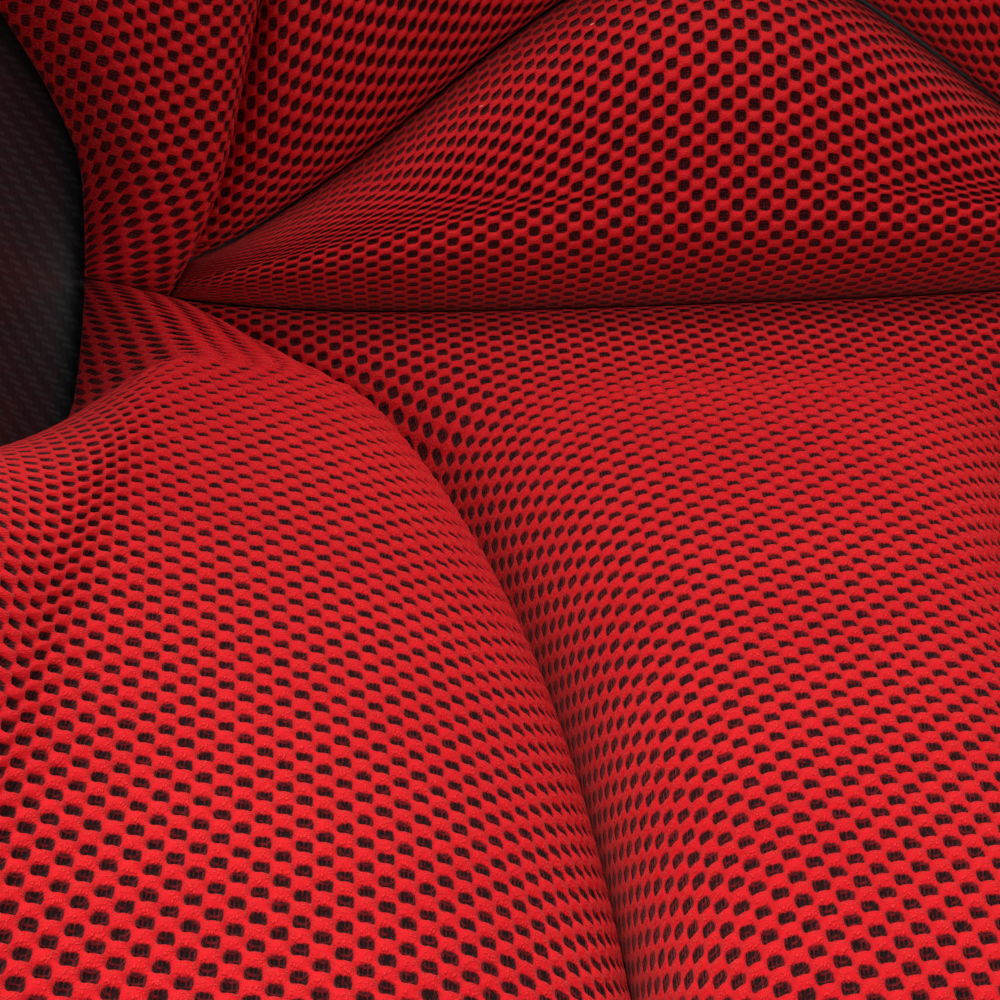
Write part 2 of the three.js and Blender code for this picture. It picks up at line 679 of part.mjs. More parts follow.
// Hook tape that holds the cushion and the back pads to the shell.
const tapeTop = PAD_GAP - TAPE_CLEARANCE;
const tape = (across, from, length) =>
  slab(rectangle(-across, across, from, from + length), flat(tapeTop - HOOK_THICK), flat(tapeTop), 6, 6);
const cushionTape = tape(CUSHION_TAPE_ACROSS, CUSHION_TAPE_FRONT, CUSHION_TAPE_LENGTH);
const backTape = tape(BACK_TAPE_ACROSS, BACK_START + BACK_TAPE_RISE, BACK_TAPE_LENGTH);
add("cushion_hook_tape", cushionTape, HOOK_TAPE);
add("back_hook_tape", backTape, HOOK_TAPE);

// ---------------------------------------------------------------- rails
const upperRailTop = LOWER_RAIL_HEIGHT + UPPER_RAIL_CLEARANCE + UPPER_RAIL_PLATE;
const sliderFootTop = LOWER_RAIL_HEIGHT - RAIL_SHEET - SLIDER_FOOT_CLEARANCE;
const railRear = RAIL_MIDDLE_Y + RAIL_LENGTH / 2;
const railFront = RAIL_MIDDLE_Y - RAIL_LENGTH / 2;
const railBolts = {
  front: RAIL_MIDDLE_Y - RAIL_BOLT_SPACING / 2,
  rear: RAIL_MIDDLE_Y + RAIL_BOLT_SPACING / 2,
};

const mirrored = (half) => [...half, ...half.map(([x, z]) => [-x, z]).reverse()];
const lowerInside = RAIL_HALF_WIDTH - RAIL_SHEET;
const lowerSection = outline(mirrored([
  [RAIL_HALF_WIDTH, 0],
  [RAIL_HALF_WIDTH, LOWER_RAIL_HEIGHT],
  [RAIL_LIP_IN, LOWER_RAIL_HEIGHT],
  [RAIL_LIP_IN, LOWER_RAIL_HEIGHT - RAIL_LIP_DROP],
  [RAIL_LIP_IN + RAIL_SHEET, LOWER_RAIL_HEIGHT - RAIL_LIP_DROP],
  [RAIL_LIP_IN + RAIL_SHEET, LOWER_RAIL_HEIGHT - RAIL_SHEET],
  [lowerInside, LOWER_RAIL_HEIGHT - RAIL_SHEET],
  [lowerInside, RAIL_SHEET],
]));
const upperUnder = upperRailTop - UPPER_RAIL_PLATE;
const upperOut = lowerInside - SLIDER_CLEARANCE;
const upperSection = outline(mirrored([
  [upperOut + 1, upperRailTop],
  [upperOut + 1, upperUnder],
  [RAIL_WEB_IN + RAIL_SHEET, upperUnder],
  [RAIL_WEB_IN + RAIL_SHEET, SLIDER_FOOT_BOTTOM + RAIL_SHEET],
  [upperOut - RAIL_SHEET, SLIDER_FOOT_BOTTOM + RAIL_SHEET],
  [upperOut - RAIL_SHEET, sliderFootTop],
  [upperOut, sliderFootTop],
  [upperOut, SLIDER_FOOT_BOTTOM],
  [RAIL_WEB_IN, SLIDER_FOOT_BOTTOM],
  [RAIL_WEB_IN, upperUnder],
]).reverse());

let lowerRail = extrudeAlongY(lowerSection, railFront, railRear).translate([RAIL_X, 0, 0]);
for (const y of [railFront + FLOOR_HOLE_INSET, railRear - FLOOR_HOLE_INSET]) {
  lowerRail = lowerRail.subtract(cylinder(BOLT_RADIUS + GAP, 10, "z", [RAIL_X, y, 0]));
}
let upperRail = extrudeAlongY(upperSection, railFront, railRear).translate([RAIL_X, 0, 0]);
for (const y of Object.values(railBolts)) {
  upperRail = upperRail.subtract(cylinder(BOLT_RADIUS + GAP, 20, "z", [RAIL_X, y, upperRailTop]));
}
const pivotScrewHole = cylinder(SCREW_RADIUS + GAP, 20, "z", [PIVOT_SCREW_X, PIVOT_Y, upperRailTop]);
upperRail = upperRail.subtract(pivotScrewHole);
addPair("lower_rail", lowerRail, ZINC_STEEL);
addPair("upper_rail", upperRail, BLACK_STEEL);

// Ball cage: a thin strip with its balls, between the rail's floor and the slider's feet.
const cageMiddle = (RAIL_SHEET + SLIDER_FOOT_BOTTOM) / 2;
const ballRadius = (SLIDER_FOOT_BOTTOM - RAIL_SHEET) / 2 - BALL_CLEARANCE;
let cage = box(
  [RAIL_X - upperOut + SLIDER_CLEARANCE, RAIL_MIDDLE_Y - CAGE_LENGTH / 2, cageMiddle - CAGE_STRIP / 2],
  [RAIL_X + upperOut - SLIDER_CLEARANCE, RAIL_MIDDLE_Y + CAGE_LENGTH / 2, cageMiddle + CAGE_STRIP / 2],
);
for (const side of [-1, 1]) {
  for (const share of [-BALL_SHARE, BALL_SHARE]) {
    const ball = new THREE.SphereGeometry(ballRadius, 8, 6);
    ball.rotateX(Math.PI / 2);
    ball.translate(RAIL_X + side * (RAIL_WEB_IN + 3), RAIL_MIDDLE_Y + share * CAGE_LENGTH, cageMiddle);
    cage = cage.add(solidOf(ball));
  }
}
addPair("ball_cage", cage, BLACK_PLASTIC);

// ---------------------------------------------------------------- side brackets and their fasteners
const bracketIn = bossFace + GAP;
const bracketOut = bracketIn + BRACKET_PLATE;
const footBottom = upperRailTop + GAP;
const footTop = footBottom + BRACKET_PLATE;

function makeBracket() {
  const half = FOOT_LENGTH / 2;
  const shape = roundedOutline([
    [railBolts.front - half, footBottom],
    [railBolts.front + half, footBottom],
    [railBolts.front + half + ARCH_SLOPE, ARCH_TOP],
    [railBolts.rear - half - ARCH_SLOPE, ARCH_TOP],
    [railBolts.rear - half, footBottom],
    [railBolts.rear + half, footBottom],
    [shellBoltRearY + BRACKET_REAR_MARGIN, BRACKET_TOP],
    [SHELL_BOLT_FRONT_Y - BRACKET_FRONT_MARGIN, BRACKET_TOP],
  ], BRACKET_CORNER);
  const holes = [-1, 0, 1].map((step) => {
    const path = new THREE.Path();
    const y = (SHELL_BOLT_FRONT_Y + shellBoltRearY) / 2 + step * BRACKET_HOLE_STEP;
    path.absarc(y, (ARCH_TOP + BRACKET_TOP) / 2, BRACKET_HOLE_RADIUS, 0, Math.PI * 2, true);
    return path;
  });
  shape.holes.push(...holes);
  let bracket = extrudeAlongX(shape, bracketIn, BRACKET_PLATE, 5);
  for (const y of Object.values(railBolts)) {
    const foot = box(
      [RAIL_X - FOOT_INNER, y - half + FOOT_INSET, footBottom],
      [bracketIn + 1, y + half - FOOT_INSET, footTop],
    );
    bracket = bracket.add(foot).subtract(cylinder(BOLT_RADIUS + GAP, 30, "z", [RAIL_X, y, footTop]));
  }
  for (const y of Object.values(shellBolts)) {
    bracket = bracket.subtract(cylinder(BOLT_RADIUS + GAP, 30, "x", [bracketOut, y, SHELL_BOLT_Z]));
  }
  return bracket;
}
addPair("side_bracket", makeBracket(), BLACK_STEEL);

// A hexagon-socket screw along +Z with its seat at z = 0: the head above, the shank below.
function socketScrew(radius, length, head) {
  const socket = cylinder(radius * 0.72, head, "z", [0, 0, head], 6);
  return cylinder(radius * 1.75, head, "z", [0, 0, head / 2])
    .add(cylinder(radius, length, "z", [0, 0, 0.01 - length / 2], 12))
    .subtract(socket);
}

function ring(outer, inner, thick) {
  return cylinder(outer, thick, "z", [0, 0, thick / 2]).subtract(cylinder(inner, 3 * thick, "z", [0, 0, 0]));
}

for (const [end, y] of Object.entries(shellBolts)) {
  const outwards = (solid, x) => solid.rotate([0, 90, 0]).translate([x, y, SHELL_BOLT_Z]);
  const washer = ring(WASHER_RADIUS, BOLT_RADIUS + GAP, WASHER_THICK);
  const insert = ring(INSERT_RADIUS, BOLT_RADIUS + GAP, INSERT_LENGTH);
  const reach = bracketOut + WASHER_THICK + 2 * GAP - bossFace + INSERT_LENGTH - 1;
  addPair(`shell_washer_${end}`, outwards(washer, bracketOut + GAP), ZINC_STEEL);
  addPair(`shell_insert_${end}`, outwards(insert, bossFace - INSERT_LENGTH), ZINC_STEEL);
  addPair(
    `shell_bolt_${end}`,
    outwards(socketScrew(BOLT_RADIUS, reach, 6), bracketOut + WASHER_THICK + 2 * GAP),
    ZINC_STEEL,
  );
}

for (const [end, y] of Object.entries(railBolts)) {
  const nut = cylinder(7.4, 6.4, "z", [RAIL_X, y, upperUnder - GAP - 3.2], 6);
  const shankHole = cylinder(BOLT_RADIUS + GAP, 20, "z", [RAIL_X, y, upperUnder - 4]);
  const bolt = socketScrew(BOLT_RADIUS, 18, 6).translate([RAIL_X, y, footTop + GAP]);
  addPair(`rail_bolt_${end}`, bolt, ZINC_STEEL);
  addPair(`rail_nut_${end}`, nut.subtract(shankHole), ZINC_STEEL);
}

// ---------------------------------------------------------------- rail lock and release bar
const toothY = PIVOT_Y - LATCH_REACH;
const railInner = RAIL_X - RAIL_HALF_WIDTH;
const rackIn = railInner - GAP - RACK_THICK;
const rackTop = LOWER_RAIL_HEIGHT - RACK_DROP;
const pivotZ = upperRailTop + PIVOT_RISE;
const rackReach = RACK_PITCH * (RACK_STEPS + 1);

const notchFloor = rackTop - NOTCH_DEPTH;
const notchMiddle = rackTop - NOTCH_DEPTH / 2;

// How far forward a tooth has moved at a height, as it swings about the pivot.
const leanAt = (z) => ((z - notchMiddle) * (pivotZ - notchMiddle)) / LATCH_REACH;

// An outline in Y and Z that leans with the tooth's swing, given by its half widths at two heights.
const leaning = (y, low, lowHalf, high, highHalf) => outline([
  [y - leanAt(low) - lowHalf, low],
  [y - leanAt(low) + lowHalf, low],
  [y - leanAt(high) + highHalf, high],
  [y - leanAt(high) - highHalf, high],
]);

function makeRack() {
  let rack = box(
    [rackIn, toothY - rackReach, RACK_BASE],
    [rackIn + RACK_THICK, toothY + rackReach, rackTop],
  );
  for (let step = -RACK_STEPS; step <= RACK_STEPS; step++) {
    const notch = leaning(
      toothY + step * RACK_PITCH, notchFloor, NOTCH_WIDTH / 2, rackTop + 1, NOTCH_WIDTH / 2,
    );
    rack = rack.subtract(extrudeAlongX(notch, rackIn - 1, RACK_THICK + 2));
  }
  return rack;
}
addPair("latch_rack", makeRack(), ZINC_STEEL);

const latchIn = rackIn + (RACK_THICK - LATCH_THICK) / 2;
const armHalf = 8;
const latchShape = roundedOutline([
  [PIVOT_Y + 11, pivotZ - armHalf],
  [PIVOT_Y + 11, pivotZ + armHalf],
  [toothY - 22, pivotZ + armHalf],
  [toothY - 22, pivotZ - armHalf],
], 3.5);
const tooth = leaning(
  toothY, notchFloor + TOOTH_TIP_CLEARANCE, TOOTH_TIP_HALF, pivotZ - armHalf + 1, TOOTH_ROOT_HALF,
);
const latch = extrudeAlongX(latchShape, latchIn, LATCH_THICK)
  .add(extrudeAlongX(tooth, latchIn, LATCH_THICK))
  .subtract(cylinder(PIN_RADIUS + PIN_CLEARANCE, 20, "x", [latchIn, PIVOT_Y, pivotZ]));

// The lock is drawn locked, and placed with the bar lifted, so that the seat is free to slide.
const lifted = (solid) =>
  solid.translate([0, -PIVOT_Y, -pivotZ]).rotate([-RELEASE_SWEEP, 0, 0]).translate([0, PIVOT_Y, pivotZ]);
addPair("latch_plate", lifted(latch), BLACK_STEEL);

// The release bar: a bent round bar under the front lip, with a leg beside each latch plate.
const legX = latchIn - GAP - BAR_RADIUS;
const legEnd = PIVOT_Y - 16;
function makeBar() {
  const path = new THREE.CurvePath();
  const point = (x, y) => new THREE.Vector3(x, y, pivotZ);
  path.add(new THREE.LineCurve3(point(-legX, legEnd), point(-legX, BAR_FRONT_Y + BAR_BEND)));
  path.add(new THREE.QuadraticBezierCurve3(
    point(-legX, BAR_FRONT_Y + BAR_BEND), point(-legX, BAR_FRONT_Y), point(BAR_BEND - legX, BAR_FRONT_Y),
  ));
  path.add(new THREE.LineCurve3(point(BAR_BEND - legX, BAR_FRONT_Y), point(legX - BAR_BEND, BAR_FRONT_Y)));
  path.add(new THREE.QuadraticBezierCurve3(
    point(legX - BAR_BEND, BAR_FRONT_Y), point(legX, BAR_FRONT_Y), point(legX, BAR_FRONT_Y + BAR_BEND),
  ));
  path.add(new THREE.LineCurve3(point(legX, BAR_FRONT_Y + BAR_BEND), point(legX, legEnd)));
  const circle = new THREE.Shape().absarc(0, 0, BAR_RADIUS, 0, Math.PI * 2, false);
  const geometry = new THREE.ExtrudeGeometry(circle, { steps: 52, curveSegments: 4, extrudePath: path });
  return solidOf(geometry);
}
add("release_bar", lifted(makeBar()), BLACK_STEEL);
const grip = cylinder(GRIP_RADIUS, GRIP_LENGTH, "x", [0, BAR_FRONT_Y, pivotZ], 20)
  .subtract(cylinder(BAR_RADIUS + GAP, GRIP_LENGTH + 2, "x", [0, BAR_FRONT_Y, pivotZ], 20));
add("release_grip", lifted(grip), BLACK_RUBBER);

// The pivot tab stands on the upper rail between the feet of the side bracket.
const tabIn = railInner + GAP;
const tabFoot = upperRailTop + GAP;
const pivotTab = box([tabIn, PIVOT_Y - 14, tabFoot], [RAIL_X + 10, PIVOT_Y + 14, tabFoot + TAB_THICK])
  .add(box([tabIn, PIVOT_Y - 12, tabFoot], [tabIn + TAB_THICK, PIVOT_Y + 12, pivotZ + 11]))
  .subtract(cylinder(PIN_RADIUS + GAP, 20, "x", [tabIn, PIVOT_Y, pivotZ]))
  .subtract(cylinder(SCREW_RADIUS + GAP, 20, "z", [PIVOT_SCREW_X, PIVOT_Y, tabFoot]));
addPair("pivot_tab", pivotTab, BLACK_STEEL);

const pinEnd = tabIn + TAB_THICK + 1 + (2 * SPRING_TURNS + 1) * SPRING_WIRE + 1.5;
const pin = cylinder(PIN_RADIUS, pinEnd - latchIn + 1, "x", [(pinEnd + latchIn - 1) / 2, PIVOT_Y, pivotZ])
  .add(cylinder(PIN_RADIUS + 2.4, 2.4, "x", [latchIn - GAP - 1.2, PIVOT_Y, pivotZ]));
addPair("pivot_pin", pin, ZINC_STEEL);

const screwTop = tabFoot + TAB_THICK + GAP;
const pivotScrew = cylinder(SCREW_RADIUS * 1.6, 2.4, "z", [PIVOT_SCREW_X, PIVOT_Y, screwTop + 1.2], 6)
  .add(cylinder(SCREW_RADIUS - 0.4, 12, "z", [PIVOT_SCREW_X, PIVOT_Y, screwTop - 5.9], 20));
addPair("pivot_screw", pivotScrew, ZINC_STEEL);

// A torsion spring wound round the free end of the pin.
class Helix extends THREE.Curve {
  getPoint(t, target = new THREE.Vector3()) {
    const angle = t * SPRING_TURNS * Math.PI * 2;
    const pitch = SPRING_WIRE * 2.25;
    return target.set(
      tabIn + TAB_THICK + 1 + t * SPRING_TURNS * pitch,
      PIVOT_Y + SPRING_RADIUS * Math.cos(angle),
      pivotZ + SPRING_RADIUS * Math.sin(angle),
    );
  }
}
const wire = new THREE.Shape().absarc(0, 0, SPRING_WIRE, 0, Math.PI * 2, false);
const coil = new THREE.ExtrudeGeometry(wire, { steps: 33, curveSegments: 3, extrudePath: new Helix() });
addPair("return_spring", solidOf(coil), SPRING_STEEL);

export default seat;
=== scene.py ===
"""Racing bucket seat: the visual model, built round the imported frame.

Metres, +Z up, and the occupant faces -Y. Each new piece is a surface worked out on a numpy grid.
"""
import sys
import json
import logging
import math
from collections.abc import Callable
from dataclasses import dataclass, field
from enum import Enum

import bpy
import numpy as np
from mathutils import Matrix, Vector

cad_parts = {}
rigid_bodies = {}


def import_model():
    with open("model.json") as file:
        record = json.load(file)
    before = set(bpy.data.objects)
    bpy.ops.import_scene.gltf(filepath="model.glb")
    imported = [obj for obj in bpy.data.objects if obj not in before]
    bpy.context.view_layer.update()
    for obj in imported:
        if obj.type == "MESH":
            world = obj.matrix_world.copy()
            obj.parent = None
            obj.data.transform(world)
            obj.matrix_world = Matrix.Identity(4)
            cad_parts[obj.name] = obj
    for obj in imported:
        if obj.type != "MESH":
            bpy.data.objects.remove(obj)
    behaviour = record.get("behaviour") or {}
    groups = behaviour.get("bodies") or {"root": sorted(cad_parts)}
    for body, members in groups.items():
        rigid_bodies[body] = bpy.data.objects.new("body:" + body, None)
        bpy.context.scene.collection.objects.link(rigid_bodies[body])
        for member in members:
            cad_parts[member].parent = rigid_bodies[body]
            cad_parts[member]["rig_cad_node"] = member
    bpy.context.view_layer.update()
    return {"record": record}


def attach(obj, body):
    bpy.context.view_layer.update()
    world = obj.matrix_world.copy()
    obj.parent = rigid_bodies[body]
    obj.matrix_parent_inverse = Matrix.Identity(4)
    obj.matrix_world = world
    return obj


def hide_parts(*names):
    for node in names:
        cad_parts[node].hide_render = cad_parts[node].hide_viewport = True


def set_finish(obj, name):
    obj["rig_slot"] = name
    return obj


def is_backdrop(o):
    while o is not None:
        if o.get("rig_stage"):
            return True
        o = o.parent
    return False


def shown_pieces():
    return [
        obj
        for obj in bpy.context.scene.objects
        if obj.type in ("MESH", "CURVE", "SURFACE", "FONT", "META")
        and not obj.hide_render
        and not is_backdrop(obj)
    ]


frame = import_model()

LOG = logging.getLogger("racing_seat")
Array = np.ndarray
Place = Callable[[Array, Array], tuple[Array, Array]]
MM = 0.001


class Slot(Enum):
    """The record's material slots, by their names there."""

    MESH = "red_mesh"
    LAMINATE = "shell_laminate"
    RUBBER = "edge_rubber"
    MOULDING = "black_plastic"
    CAGE = "cage_plastic"
    TAPE = "hook_tape"
    POWDER_COAT = "black_steel"
    ZINC = "zinc_steel"
    SPRING = "spring_steel"


class Align(Enum):
    """Which border of a lobe, or its middle, the columns of its cloth run parallel to."""

    LOW = 0.0
    MIDDLE = 0.5


# ---------------------------------------------------------------- helpers for meshes
def smooth(x: Array, low: float, high: float) -> Array:
    """Rises from 0 at low to 1 at high as 3t^2 - 2t^3."""
    t = np.clip((x - low) / (high - low), 0.0, 1.0)
    return t * t * (3 - 2 * t)


def lerp(a: Array | float, b: Array | float, t: Array | float) -> Array:
    """The straight mix of a and b at share t."""
    return a + (b - a) * t


def unit(v: Array) -> Array:
    """Vectors scaled to length 1 along the last axis."""
    return v / np.maximum(np.linalg.norm(v, axis=-1, keepdims=True), 1e-12)


def outward(points: Array, faces: Array) -> Array:
    """Turns every triangle round if the closed surface's signed volume is negative.

    Args:
        points: Vertices, n by 3.
        faces: Triangles, m by 3.

    Returns:
        The triangles, facing out.
    """
    a, b, c = (points[faces[:, k]] for k in range(3))
    volume = np.einsum("ij,ij->i", a, np.cross(b, c)).sum()
    return faces if volume > 0 else faces[:, ::-1]


def quads(a: Array, b: Array, c: Array, d: Array) -> Array:
    """Two triangles for each quad a, b, c, d, without those that have two corners alike.

    Args:
        a: First corners.
        b: Second corners.
        c: Third corners.
        d: Fourth corners.

    Returns:
        The triangles, as rows of three numbers.
    """
    corners = [np.ravel(k) for k in (a, b, c, d)]
    first = np.stack([corners[0], corners[1], corners[2]], 1)
    second = np.stack([corners[0], corners[2], corners[3]], 1)
    both = np.concatenate([first, second])
    good = (both[:, 0] != both[:, 1]) & (both[:, 1] != both[:, 2]) & (both[:, 0] != both[:, 2])
    return both[good]


def make_piece(name: str, points: Array, faces: Array, uv: Array | None = None) -> bpy.types.Object:
    """Puts a closed triangle surface into a new object, with only the vertices that it uses.

    Args:
        name: The piece's name.
        points: Vertices in metres, n by 3.
        faces: Triangles, m by 3, either way round.
        uv: Optional map coordinates for each vertex, n by 2.

    Returns:
        The object, at the origin, smooth-shaded, with its faces pointing out.
    """
    used, flat = np.unique(faces, return_inverse=True)
    points = points[used]
    faces = outward(points, flat.reshape(-1, 3))
    mesh = bpy.data.meshes.new(name)
    mesh.vertices.add(len(points))
    mesh.vertices.foreach_set("co", points.astype(np.float32).ravel())
    mesh.loops.add(faces.size)
    mesh.loops.foreach_set("vertex_index", faces.astype(np.int32).ravel())
    mesh.polygons.add(len(faces))
    mesh.polygons.foreach_set("loop_start", np.arange(0, faces.size, 3, dtype=np.int32))
    mesh.polygons.foreach_set("use_smooth", np.ones(len(faces), bool))
    if uv is not None:
        layer = mesh.uv_layers.new(name="cloth")
        layer.data.foreach_set("uv", uv[used][faces.ravel()].astype(np.float32).ravel())
    mesh.update(calc_edges=True)
    piece = bpy.data.objects.new(name, mesh)
    bpy.context.scene.collection.objects.link(piece)
    LOG.info("%s: %d triangles", name, len(faces))
    return piece


def sweep(path: Array, first: Array, second: Array, section: Array, closed: bool) -> tuple[Array, Array]:
    """Carries a section along a path: point = path + section x * first + section y * second.

    Args:
        path: Points of the path, m by 3.
        first: The section's first axis at each point of the path, m by 3.
        second: The section's second axis at each point, m by 3.
        section: The closed outline of the section, k by 2.
        closed: Whether the path joins its own start, or has a fan over each end.

    Returns:
        Vertices and triangles.
    """
    m, k = len(path), len(section)
    rings = path[:, None] + section[None, :, :1] * first[:, None] + section[None, :, 1:] * second[:, None]
    points = rings.reshape(-1, 3)
    row = np.arange(m if closed else m - 1)[:, None]
    col = np.arange(k)[None, :]
    here, there = row * k, ((row + 1) % m) * k
    right = (col + 1) % k
    faces = quads(here + col, here + right, there + right, there + col)
    if not closed:
        points = np.concatenate([points, path[:1], path[-1:]])
        ring = np.arange(k)
        start = np.stack([np.full(k, m * k), (ring + 1) % k, ring], 1)
        end = np.stack([np.full(k, m * k + 1), (m - 1) * k + ring, (m - 1) * k + (ring + 1) % k], 1)
        faces = np.concatenate([faces, start, end])
    return points, faces


def circle(radius: float, sides: int) -> Array:
    """A round section of that radius, as cosine and sine of even angles."""
    angle = np.linspace(0, 2 * np.pi, sides, endpoint=False)
    return radius * np.stack([np.cos(angle), np.sin(angle)], 1)


def walled_sheet(inner: Array, outer: Array, keep: Array) -> Array:
    """The triangles of a sheet with two faces, and a wall wherever a kept cell has no kept neighbour.

    Args:
        inner: Indices of the inner face's vertices, rows by columns.
        outer: Indices of the outer face's vertices, rows by columns.
        keep: Which cells are kept, one fewer each way.

    Returns:
        Triangles.
    """
    cell = [g[keep] for g in (inner[:-1, :-1], inner[:-1, 1:], inner[1:, 1:], inner[1:, :-1])]
    back = [g[keep] for g in (outer[:-1, :-1], outer[1:, :-1], outer[1:, 1:], outer[:-1, 1:])]
    parts = [quads(*cell), quads(*back)]
    framed = np.pad(keep, 1)
    along = (framed[:-1, 1:-1], framed[1:, 1:-1], np.s_[:, :-1], np.s_[:, 1:])
    upright = (framed[1:-1, 1:], framed[1:-1, :-1], np.s_[:-1, :], np.s_[1:, :])
    for before, after, first, second in (along, upright):
        for edge, start, end in ((before & ~after, first, second), (after & ~before, second, first)):
            parts.append(quads(inner[start][edge], inner[end][edge], outer[end][edge], outer[start][edge]))
    return np.concatenate(parts)


@dataclass
class SubAssembly:
    """Pieces that are built together, each dressed by its slot."""

    pieces: list[bpy.types.Object] = field(default_factory=list, kw_only=True)

    def keep(self, piece: bpy.types.Object, body: str, slot: Slot, *nodes: str) -> bpy.types.Object:
        """Rides a piece on its body, lets it stand for CAD nodes, and keeps it to be dressed.

        Args:
            piece: The new piece.
            body: The body that it moves with.
            slot: Its material slot.
            nodes: The CAD nodes that it replaces, if any.

        Returns:
            The piece.
        """
        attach(piece, body)
        if nodes:
            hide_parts(*nodes)
        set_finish(piece, slot.value)
        self.pieces.append(piece)
        return piece

    def dress(self, finishes: dict[Slot, bpy.types.Material]) -> None:
        """Gives each piece the finish of its slot."""
        for piece in self.pieces:
            wear(piece, finishes[Slot(piece["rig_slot"])])


def wear(piece: bpy.types.Object, material: bpy.types.Material) -> None:
    """Gives a piece one material in place of any it had."""
    piece.data.materials.clear()
    piece.data.materials.append(material)


# ---------------------------------------------------------------- the seat's form
@dataclass(frozen=True)
class SeatForm:
    """The sizes of the moulded shell, and the formulas of its inner face."""

    lip_y: float = -0.3394
    lip_z: float = 0.125
    lip_radius: float = 0.060
    lip_sweep: float = 50.0
    base_length: float = 0.330
    base_tilt: float = 9.0
    hip_radius: float = 0.095
    recline: float = 15.0
    back_length: float = 0.690
    head_radius: float = 0.600
    head_sweep: float = 8.0
    lip_half: float = 0.205
    thigh_half: float = 0.236
    hip_half: float = 0.222
    shoulder_half: float = 0.276
    head_half: float = 0.140
    lip_depth: float = 0.026
    thigh_depth: float = 0.128
    hip_depth: float = 0.190
    shoulder_depth: float = 0.152
    head_depth: float = 0.034
    section_power: float = 3.5
    corner_power: float = 9.0
    lean_front: float = 85.0
    lean_from: float = 0.150
    lean_to: float = 0.800
    wall: float = 0.004

    @property
    def runs(self) -> list[tuple[float, float, float]]:
        """Each run of the side profile as its length, first heading and turn in degrees.

        Returns:
            The runs, from the front lip to the top.
        """
        hip_sweep = 90 - self.recline + self.base_tilt
        rise = 90 - self.recline
        lip_length = self.lip_radius * math.radians(self.lip_sweep)
        return [
            (lip_length, self.lip_sweep - self.base_tilt, -self.lip_sweep),
            (self.base_length, -self.base_tilt, 0.0),
            (self.hip_radius * math.radians(hip_sweep), -self.base_tilt, hip_sweep),
            (self.back_length, rise, 0.0),
            (self.head_radius * math.radians(self.head_sweep), rise, self.head_sweep),
        ]

    @property
    def starts(self) -> list[float]:
        """Distances along the profile where each run starts, and the whole length at the end."""
        return [0.0, *np.cumsum([run[0] for run in self.runs]).tolist()]

    def profile(self, distance: Array) -> tuple[Array, Array]:
        """The side profile's Y and Z: each run adds its chord, sin(half turn) / half turn of its length.

        Args:
            distance: Distances along the side profile, in metres.

        Returns:
            Y and Z.
        """
        y = np.full_like(distance, self.lip_y)
        z = np.full_like(distance, self.lip_z)
        left = np.clip(distance, 0, self.starts[-1])
        for length, first, turn in self.runs:
            part = np.minimum(left, length)
            half = math.radians(turn) * part / length / 2
            chord = part * np.sinc(half / np.pi)
            y = y + chord * np.cos(math.radians(first) + half)
            z = z + chord * np.sin(math.radians(first) + half)
            left = left - part
        return y, z

    def stations(self) -> Array:
        """Rows of distance, half width and wing depth that the section's curves pass through.

        Returns:
            The rows, from the front lip to the top.
        """
        _, base, hip, back, head, end = self.starts
        thigh, hips, shoulder = self.thigh_half, self.hip_half, self.shoulder_half
        return np.array([
            [0, self.lip_half, self.lip_depth],
            [base + 0.020, thigh - 0.004, self.thigh_depth - 0.048],
            [base + self.base_length / 2, thigh, self.thigh_depth],
            [hip, (thigh + hips) / 2, self.hip_depth - 0.020],
            [back, hips, self.hip_depth],
            [back + 0.180, hips + 0.010, self.hip_depth - 0.014],
            [back + 0.370, shoulder - 0.014, self.shoulder_depth + 0.008],
            [back + 0.480, shoulder, self.shoulder_depth],
            [back + 0.585, (shoulder + self.head_half) / 2, self.shoulder_depth - 0.062],
            [head - 0.010, self.head_half + 0.006, self.head_depth + 0.006],
            [end, self.head_half, self.head_depth - 0.020],
        ])

    def section(self, distance: Array) -> tuple[Array, Array]:
        """Half width and depth at a distance: cubic Hermite curves with slopes from each neighbour.

        Args:
            distance: Distances along the side profile, in metres.

        Returns:
            The half width and the depth.
        """
        table = self.stations()
        last = len(table) - 1
        i = np.clip(np.searchsorted(table[:, 0], distance, side="left") - 1, 0, last - 1)
        span = table[i + 1, 0] - table[i, 0]
        t = np.clip((distance - table[i, 0]) / span, 0, 1)
        before, after = np.maximum(np.arange(last + 1) - 1, 0), np.minimum(np.arange(last + 1) + 1, last)
        slopes = (table[after] - table[before]) / (table[after, :1] - table[before, :1])
        found = []
        for column in (1, 2):
            level = lerp(table[i, column], table[i + 1, column], t * t * (3 - 2 * t))
            pull = slopes[i, column] * span * t * (1 - t) ** 2
            found.append(level + pull + slopes[i + 1, column] * span * t * t * (t - 1))
        return found[0], found[1]

    def face(self, across: Array, distance: Array) -> Array:
        """A point of the inner face.

        The section is a superellipse of the half width and the wing's depth, and its wings rise in a
        direction that leans from nearly upright at the thighs to square with the back.

        Args:
            across: Shares across the face, from -1 to 1.
            distance: Distances along the side profile, in metres.

        Returns:
            Points, with X, Y and Z last.
        """
        across, distance = np.broadcast_arrays(np.asarray(across, float), np.asarray(distance, float))
        y, z = self.profile(distance)
        half, depth = self.section(distance)
        turned = smooth(distance, self.lean_from, self.lean_to)
        lean = np.radians(lerp(self.lean_front, 180 - self.recline, turned))
        s, c = np.sin(across * np.pi / 2), np.cos(across * np.pi / 2)
        power = self.section_power
        reach = (np.abs(s) ** power + np.abs(c) ** power) ** (-1 / power)
        rise = depth * (1 - reach * c)
        return np.stack([half * reach * s, y + rise * np.cos(lean), z + rise * np.sin(lean)], -1)

